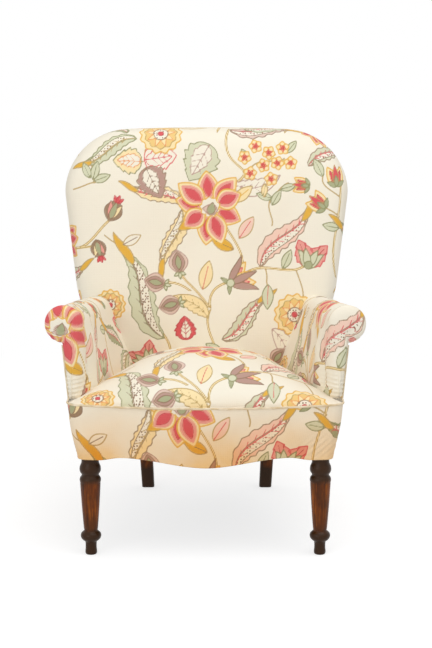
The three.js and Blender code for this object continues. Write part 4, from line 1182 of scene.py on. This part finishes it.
def make_outside_arm(name, side):
    rows, columns = 84, 168
    y = np.linspace(ARM_FRONT + ARM_NOSE, 560, columns)
    sheet = np.zeros((rows, columns, 3))
    for j, depth in enumerate(y):
        share = (depth - ARM_FRONT) / (ARM_BACK - ARM_FRONT)
        _, centre_z, radius = (lerp(a, b, share) for a, b in zip(ROLL_FRONT, ROLL_BACK))
        z = np.linspace(LEG_Z, centre_z - radius * 0.97, rows)
        half = side_half(depth, z)
        sheet[:, j] = np.stack([side * (half + 0.6), np.full(rows, depth), z], 1)
    normal = outward_normals(sheet)
    normal *= np.sign(normal[..., :1] * side)
    points = sheet.reshape(-1, 3)
    points = points + normal.reshape(-1, 3) * (0.8 * softness(points, 150, 41 + side))[:, None]
    faces = grid_faces(rows, columns)
    if side < 0:
        faces = faces[:, ::-1]
    uv = points[:, 1:] * [side, 1] + [300, 90]
    made = cloth_piece("outside_arm_linen_" + name, points, faces, everywhere(uv, faces), wall=COVER)
    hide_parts("outside_arm_cover_" + name)


for arm_name, arm_side in (("left", -1), ("right", 1)):
    make_arm(arm_name, arm_side)
    make_outside_arm(arm_name, arm_side)


# The outside of the back: a flat panel with the same print, inside its cord.


def rear_line(inset):
    outline = back_line()
    inner = outline - sides_of(outline) * inset
    upper = inner[inner[:, 1] > SHOULDER_Z]
    z = np.linspace(LEG_Z + 2, SHOULDER_Z - 6, 60)
    lower = np.stack([rear_half(z) - inset, z], 1)
    return np.concatenate([lower, upper, (lower * [-1, 1])[::-1]])


def make_outside_back():
    line_points = rear_line(2 * CORD + 1.2)
    half = len(line_points) // 2
    heights = np.linspace(line_points[0, 1], BACK_TOP_Z - 8, 190)
    right = line_points[: half + 1]
    order = np.argsort(right[:, 1])
    width = np.interp(heights, right[order, 1], right[order, 0])
    width[-1] = max(width[-1], 60)
    columns = 196
    share = np.linspace(-1, 1, columns)
    sheet = np.zeros((len(heights), columns, 3))
    sheet[..., 0] = width[:, None] * share[None]
    sheet[..., 2] = heights[:, None]
    sheet[..., 1] = rear_face(heights)[:, None] - 0.2
    points = sheet.reshape(-1, 3)
    points[:, 1] += 0.8 * softness(points, 200, 51)
    faces = grid_faces(len(heights), columns)[:, ::-1]
    uv = points[:, [0, 2]] * [-1, 1] + [260, 40]
    made = cloth_piece("outside_back_linen", points, faces, everywhere(uv, faces), wall=COVER)
    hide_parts("outside_back_cover")


make_outside_back()


# Cords along the seams


def make_cord(name, points, replaced):
    line_data = bpy.data.curves.new(name, "CURVE")
    line_data.dimensions = "3D"
    line_data.bevel_depth = CORD / 1000
    line_data.bevel_resolution = 3
    line_data.use_fill_caps = True
    spline = line_data.splines.new("POLY")
    spline.points.add(len(points) - 1)
    spline.points.foreach_set("co", np.concatenate([place(points), np.ones((len(points), 1))], 1).reshape(-1))
    made = bpy.data.objects.new(name, line_data)
    bpy.context.collection.objects.link(made)
    deselect()
    bpy.context.view_layer.objects.active = made
    made.select_set(True)
    bpy.ops.object.convert(target="MESH")
    made = bpy.context.view_layer.objects.active
    made.data.materials.clear()
    made.data.materials.append(CORD_LINEN)
    made.data.shade_smooth()
    deselect()
    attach(made, "root")
    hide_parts(replaced)


def make_cords():
    path, along = border_path(BORDER_TOP + 0.4, -0.4, 260)
    keep = path[:, 1] < ARM_FRONT - 1
    path, along = path[keep], along[keep]
    wobble = 0.35 * np.sin(along * 0.11) + 0.25 * np.sin(along * 0.31 + 1)
    make_cord("seat_piping", np.stack([path[:, 0], path[:, 1], seam_z(path[:, 0]) + wobble], 1), "seat_cord")
    for name, side in (("left", -1), ("right", 1)):
        z = np.linspace(LEG_Z + 4, NECK_Z - 1, 90)
        x = side * (front_half(z) + CORD * 0.7)
        y = np.full(90, ARM_FRONT + ARM_NOSE + 1.0)
        make_cord("arm_piping_" + name, np.stack([x, y, z], 1), "arm_cord_" + name)
    around = rear_line(CORD + 0.6)
    y = rear_face(around[:, 1]) + 0.6
    make_cord("back_piping", np.stack([around[:, 0], y, around[:, 1]], 1), "back_cord")


make_cords()


# Front legs: each turned from its profile, up from the foot.

# Radius and height of each step of the turning, in millimetres.
TURNING = [
    (0, 0), (11.8, 0), (13.2, 1.5), (13.8, 5), (13.7, 8), (13.0, 14), (12.8, 20), (13.3, 29), (14.4, 31),
    (18.5, 33.8), (22.2, 38), (23.8, 42.5), (23.9, 46), (22.6, 50), (18.6, 54), (16.0, 56), (15.5, 58.5),
    (16.3, 61), (17.3, 72), (19.0, 95), (20.8, 120), (22.3, 145), (23.3, 164), (23.6, 170), (23.2, 172.2),
    (24.2, 174), (24.7, 177.5), (24.5, 181), (23.0, 184.8), (20.6, 187.5), (19.8, 190), (20.4, 192.4),
    (22.9, 195.5), (24.6, 200), (24.8, 204.5), (24.0, 210), (21.9, 215), (20.4, 218.5), (20.0, 223),
    (20.3, 232), (20.5, 243), (0, 243),
]
LEG_X = 266


def make_turned_leg(name, side):
    middle = place(np.array([[side * LEG_X, 0.0, 0.0]]))[0]
    deselect()
    bpy.ops.mesh.primitive_plane_add(size=0.01, location=(0, 0, 0))
    made = bpy.context.view_layer.objects.active
    made.name = made.data.name = "turned_leg_" + name
    bpy.ops.object.mode_set(mode="EDIT")
    bpy.ops.mesh.select_mode(type="VERT")
    bpy.ops.mesh.select_all(action="SELECT")
    bpy.ops.mesh.merge(type="CENTER")
    for (r0, z0), (r1, z1) in zip(TURNING, TURNING[1:]):
        step = ((r1 - r0) / 1000, 0, (z1 - z0) / 1000)
        bpy.ops.mesh.extrude_region_move(TRANSFORM_OT_translate={"value": step})
    bpy.ops.mesh.select_all(action="SELECT")
    bpy.ops.mesh.spin(steps=56, angle=2 * math.pi, center=(0, 0, 0), axis=(0, 0, 1))
    bpy.ops.mesh.select_all(action="SELECT")
    bpy.ops.mesh.remove_doubles(threshold=0.00005)
    bpy.ops.mesh.normals_make_consistent(inside=False)
    bpy.ops.transform.translate(value=tuple(float(v) for v in middle))
    bpy.ops.object.mode_set(mode="OBJECT")
    bpy.ops.object.shade_smooth_by_angle(angle=math.radians(50))
    made.data.materials.append(WALNUT)
    deselect()
    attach(made, "root")
    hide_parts("front_leg_" + name)


def make_rear_leg(name):
    """The sawn and planed rear leg and post, with its arrises taken off."""
    deselect()
    source = bpy.data.objects["rear_leg_" + name]
    made = source.copy()
    made.data = source.data.copy()
    made.name = made.data.name = "raked_leg_" + name
    for key in list(made.keys()):
        del made[key]
    bpy.context.collection.objects.link(made)
    bpy.context.view_layer.objects.active = made
    made.select_set(True)
    bpy.ops.object.mode_set(mode="EDIT")
    bpy.ops.mesh.select_all(action="SELECT")
    bpy.ops.mesh.remove_doubles(threshold=0.00005)
    bpy.ops.mesh.tris_convert_to_quads()
    bpy.ops.object.mode_set(mode="OBJECT")
    arris = made.modifiers.new("arris", "BEVEL")
    arris.width, arris.segments, arris.angle_limit = 0.0025, 3, math.radians(30)
    bpy.ops.object.modifier_apply(modifier="arris")
    bpy.ops.object.shade_smooth_by_angle(angle=math.radians(40))
    deselect()
    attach(made, "root")
    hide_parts("rear_leg_" + name)


for leg_name, leg_side in (("left", -1), ("right", 1)):
    make_turned_leg(leg_name, leg_side)
    make_rear_leg(leg_name)


# Studio: a white floor that keeps the chair's shadow, even light from above, and the camera before the chair.

# What the floor gives back of the light that it shows and of the light that it throws up on the chair.
FLOOR_SEEN, FLOOR_THROWN, FLOOR_GLOW = 0.42, 0.84, 0.71
FADE_FROM, FADE_TO = 0.9, 2.2
SKY_LIGHT = 0.58


def seen_directly(tree):
    """1 for what the camera sees, straight or in a gloss, and 0 for the light that falls on the chair."""
    ray = add(tree, "ShaderNodeLightPath")
    seen = ray.outputs["Is Camera Ray"]
    for kind in ("Is Glossy Ray", "Is Transmission Ray"):
        seen = add(tree, "ShaderNodeMath", {0: seen, 1: ray.outputs[kind]}, operation="MAXIMUM").outputs[0]
    return seen


def matt(tree, level):
    return add(tree, "ShaderNodeBsdfDiffuse", {"Color": (level, level, level, 1)}).outputs[0]


def studio_floor():
    """Floor paint that shows white far from the chair, and only its shadow near it."""
    finish, tree, _ = new_finish("studio_floor", 0.9)
    glow = add(tree, "ShaderNodeEmission", Strength=FLOOR_GLOW)
    lit = add(tree, "ShaderNodeAddShader", {0: matt(tree, FLOOR_SEEN), 1: glow.outputs[0]})
    reach = add(tree, "ShaderNodeVectorMath", {0: object_place(tree)}, operation="LENGTH").outputs["Value"]
    far = add(tree, "ShaderNodeMapRange", {"Value": reach}, From_Min=FADE_FROM, From_Max=FADE_TO)
    white = add(tree, "ShaderNodeEmission", Strength=1.0)
    fading = add(tree, "ShaderNodeMixShader", {0: far.outputs[0], 1: lit.outputs[0], 2: white.outputs[0]})
    sides = {0: seen_directly(tree), 1: matt(tree, FLOOR_THROWN), 2: fading.outputs[0]}
    both = add(tree, "ShaderNodeMixShader", sides)
    out = next(n for n in tree.nodes if n.type == "OUTPUT_MATERIAL")
    tree.links.new(both.outputs[0], out.inputs["Surface"])
    bpy.ops.mesh.primitive_circle_add(radius=9, vertices=64, fill_type="NGON", location=(0, 0, -0.0005))
    floor = bpy.context.view_layer.objects.active
    floor.name = "floor"
    floor.data.materials.append(finish)
    deselect()


studio_floor()


def studio_sky():
    world = bpy.data.worlds.new("studio")
    bpy.context.scene.world = world
    world.use_nodes = True
    sky = world.node_tree
    light = next(n for n in sky.nodes if n.type == "BACKGROUND")
    light.inputs["Strength"].default_value = SKY_LIGHT
    light.inputs["Color"].default_value = (1, 1, 1, 1)
    white = add(sky, "ShaderNodeBackground", {"Color": (1, 1, 1, 1)}, Strength=1.0)
    sides = {0: seen_directly(sky), 1: light.outputs[0], 2: white.outputs[0]}
    mixed = add(sky, "ShaderNodeMixShader", sides)
    out = next(n for n in sky.nodes if n.type == "OUTPUT_WORLD")
    sky.links.new(mixed.outputs[0], out.inputs["Surface"])


studio_sky()


def softbox(name, spot, size, power):
    """A large square lamp at a spot, turned towards the chair's middle, that isn't seen itself."""
    lamp = bpy.data.lights.new(name, "AREA")
    lamp.size, lamp.energy = size, power
    made = bpy.data.objects.new(name, lamp)
    made.location = spot
    made.rotation_euler = (Vector((0, 0, 0.4)) - Vector(spot)).to_track_quat("-Z", "Y").to_euler()
    made.visible_camera = False
    bpy.context.collection.objects.link(made)


softbox("overhead", (0.6, -0.9, 3.0), 2.6, 38)
softbox("front_fill", (-2.1, -3.4, 1.5), 2.4, 31)

# The camera stands 4 m before the front legs, a little to the right, and looks down on the seat.
CAMERA_OFF, CAMERA_BEFORE, CAMERA_UP, CAMERA_DOWN = 0.0245, 4.0, 1.26, 10.165
FILM_WIDTH, FILM_HEIGHT, LENS = 24, 36, 99.2
camera_data = bpy.data.cameras.new("camera")
camera_data.sensor_fit, camera_data.lens = "VERTICAL", LENS
camera_data.sensor_width, camera_data.sensor_height = FILM_WIDTH, FILM_HEIGHT
camera = bpy.data.objects.new("camera", camera_data)
camera.location = (CAMERA_OFF, LEG_MIDDLE - CAMERA_BEFORE, CAMERA_UP)
camera.rotation_euler = (math.radians(90 - CAMERA_DOWN), 0, 0)
bpy.context.collection.objects.link(camera)
bpy.context.scene.camera = camera
bpy.context.scene.view_settings.view_transform = "Standard"
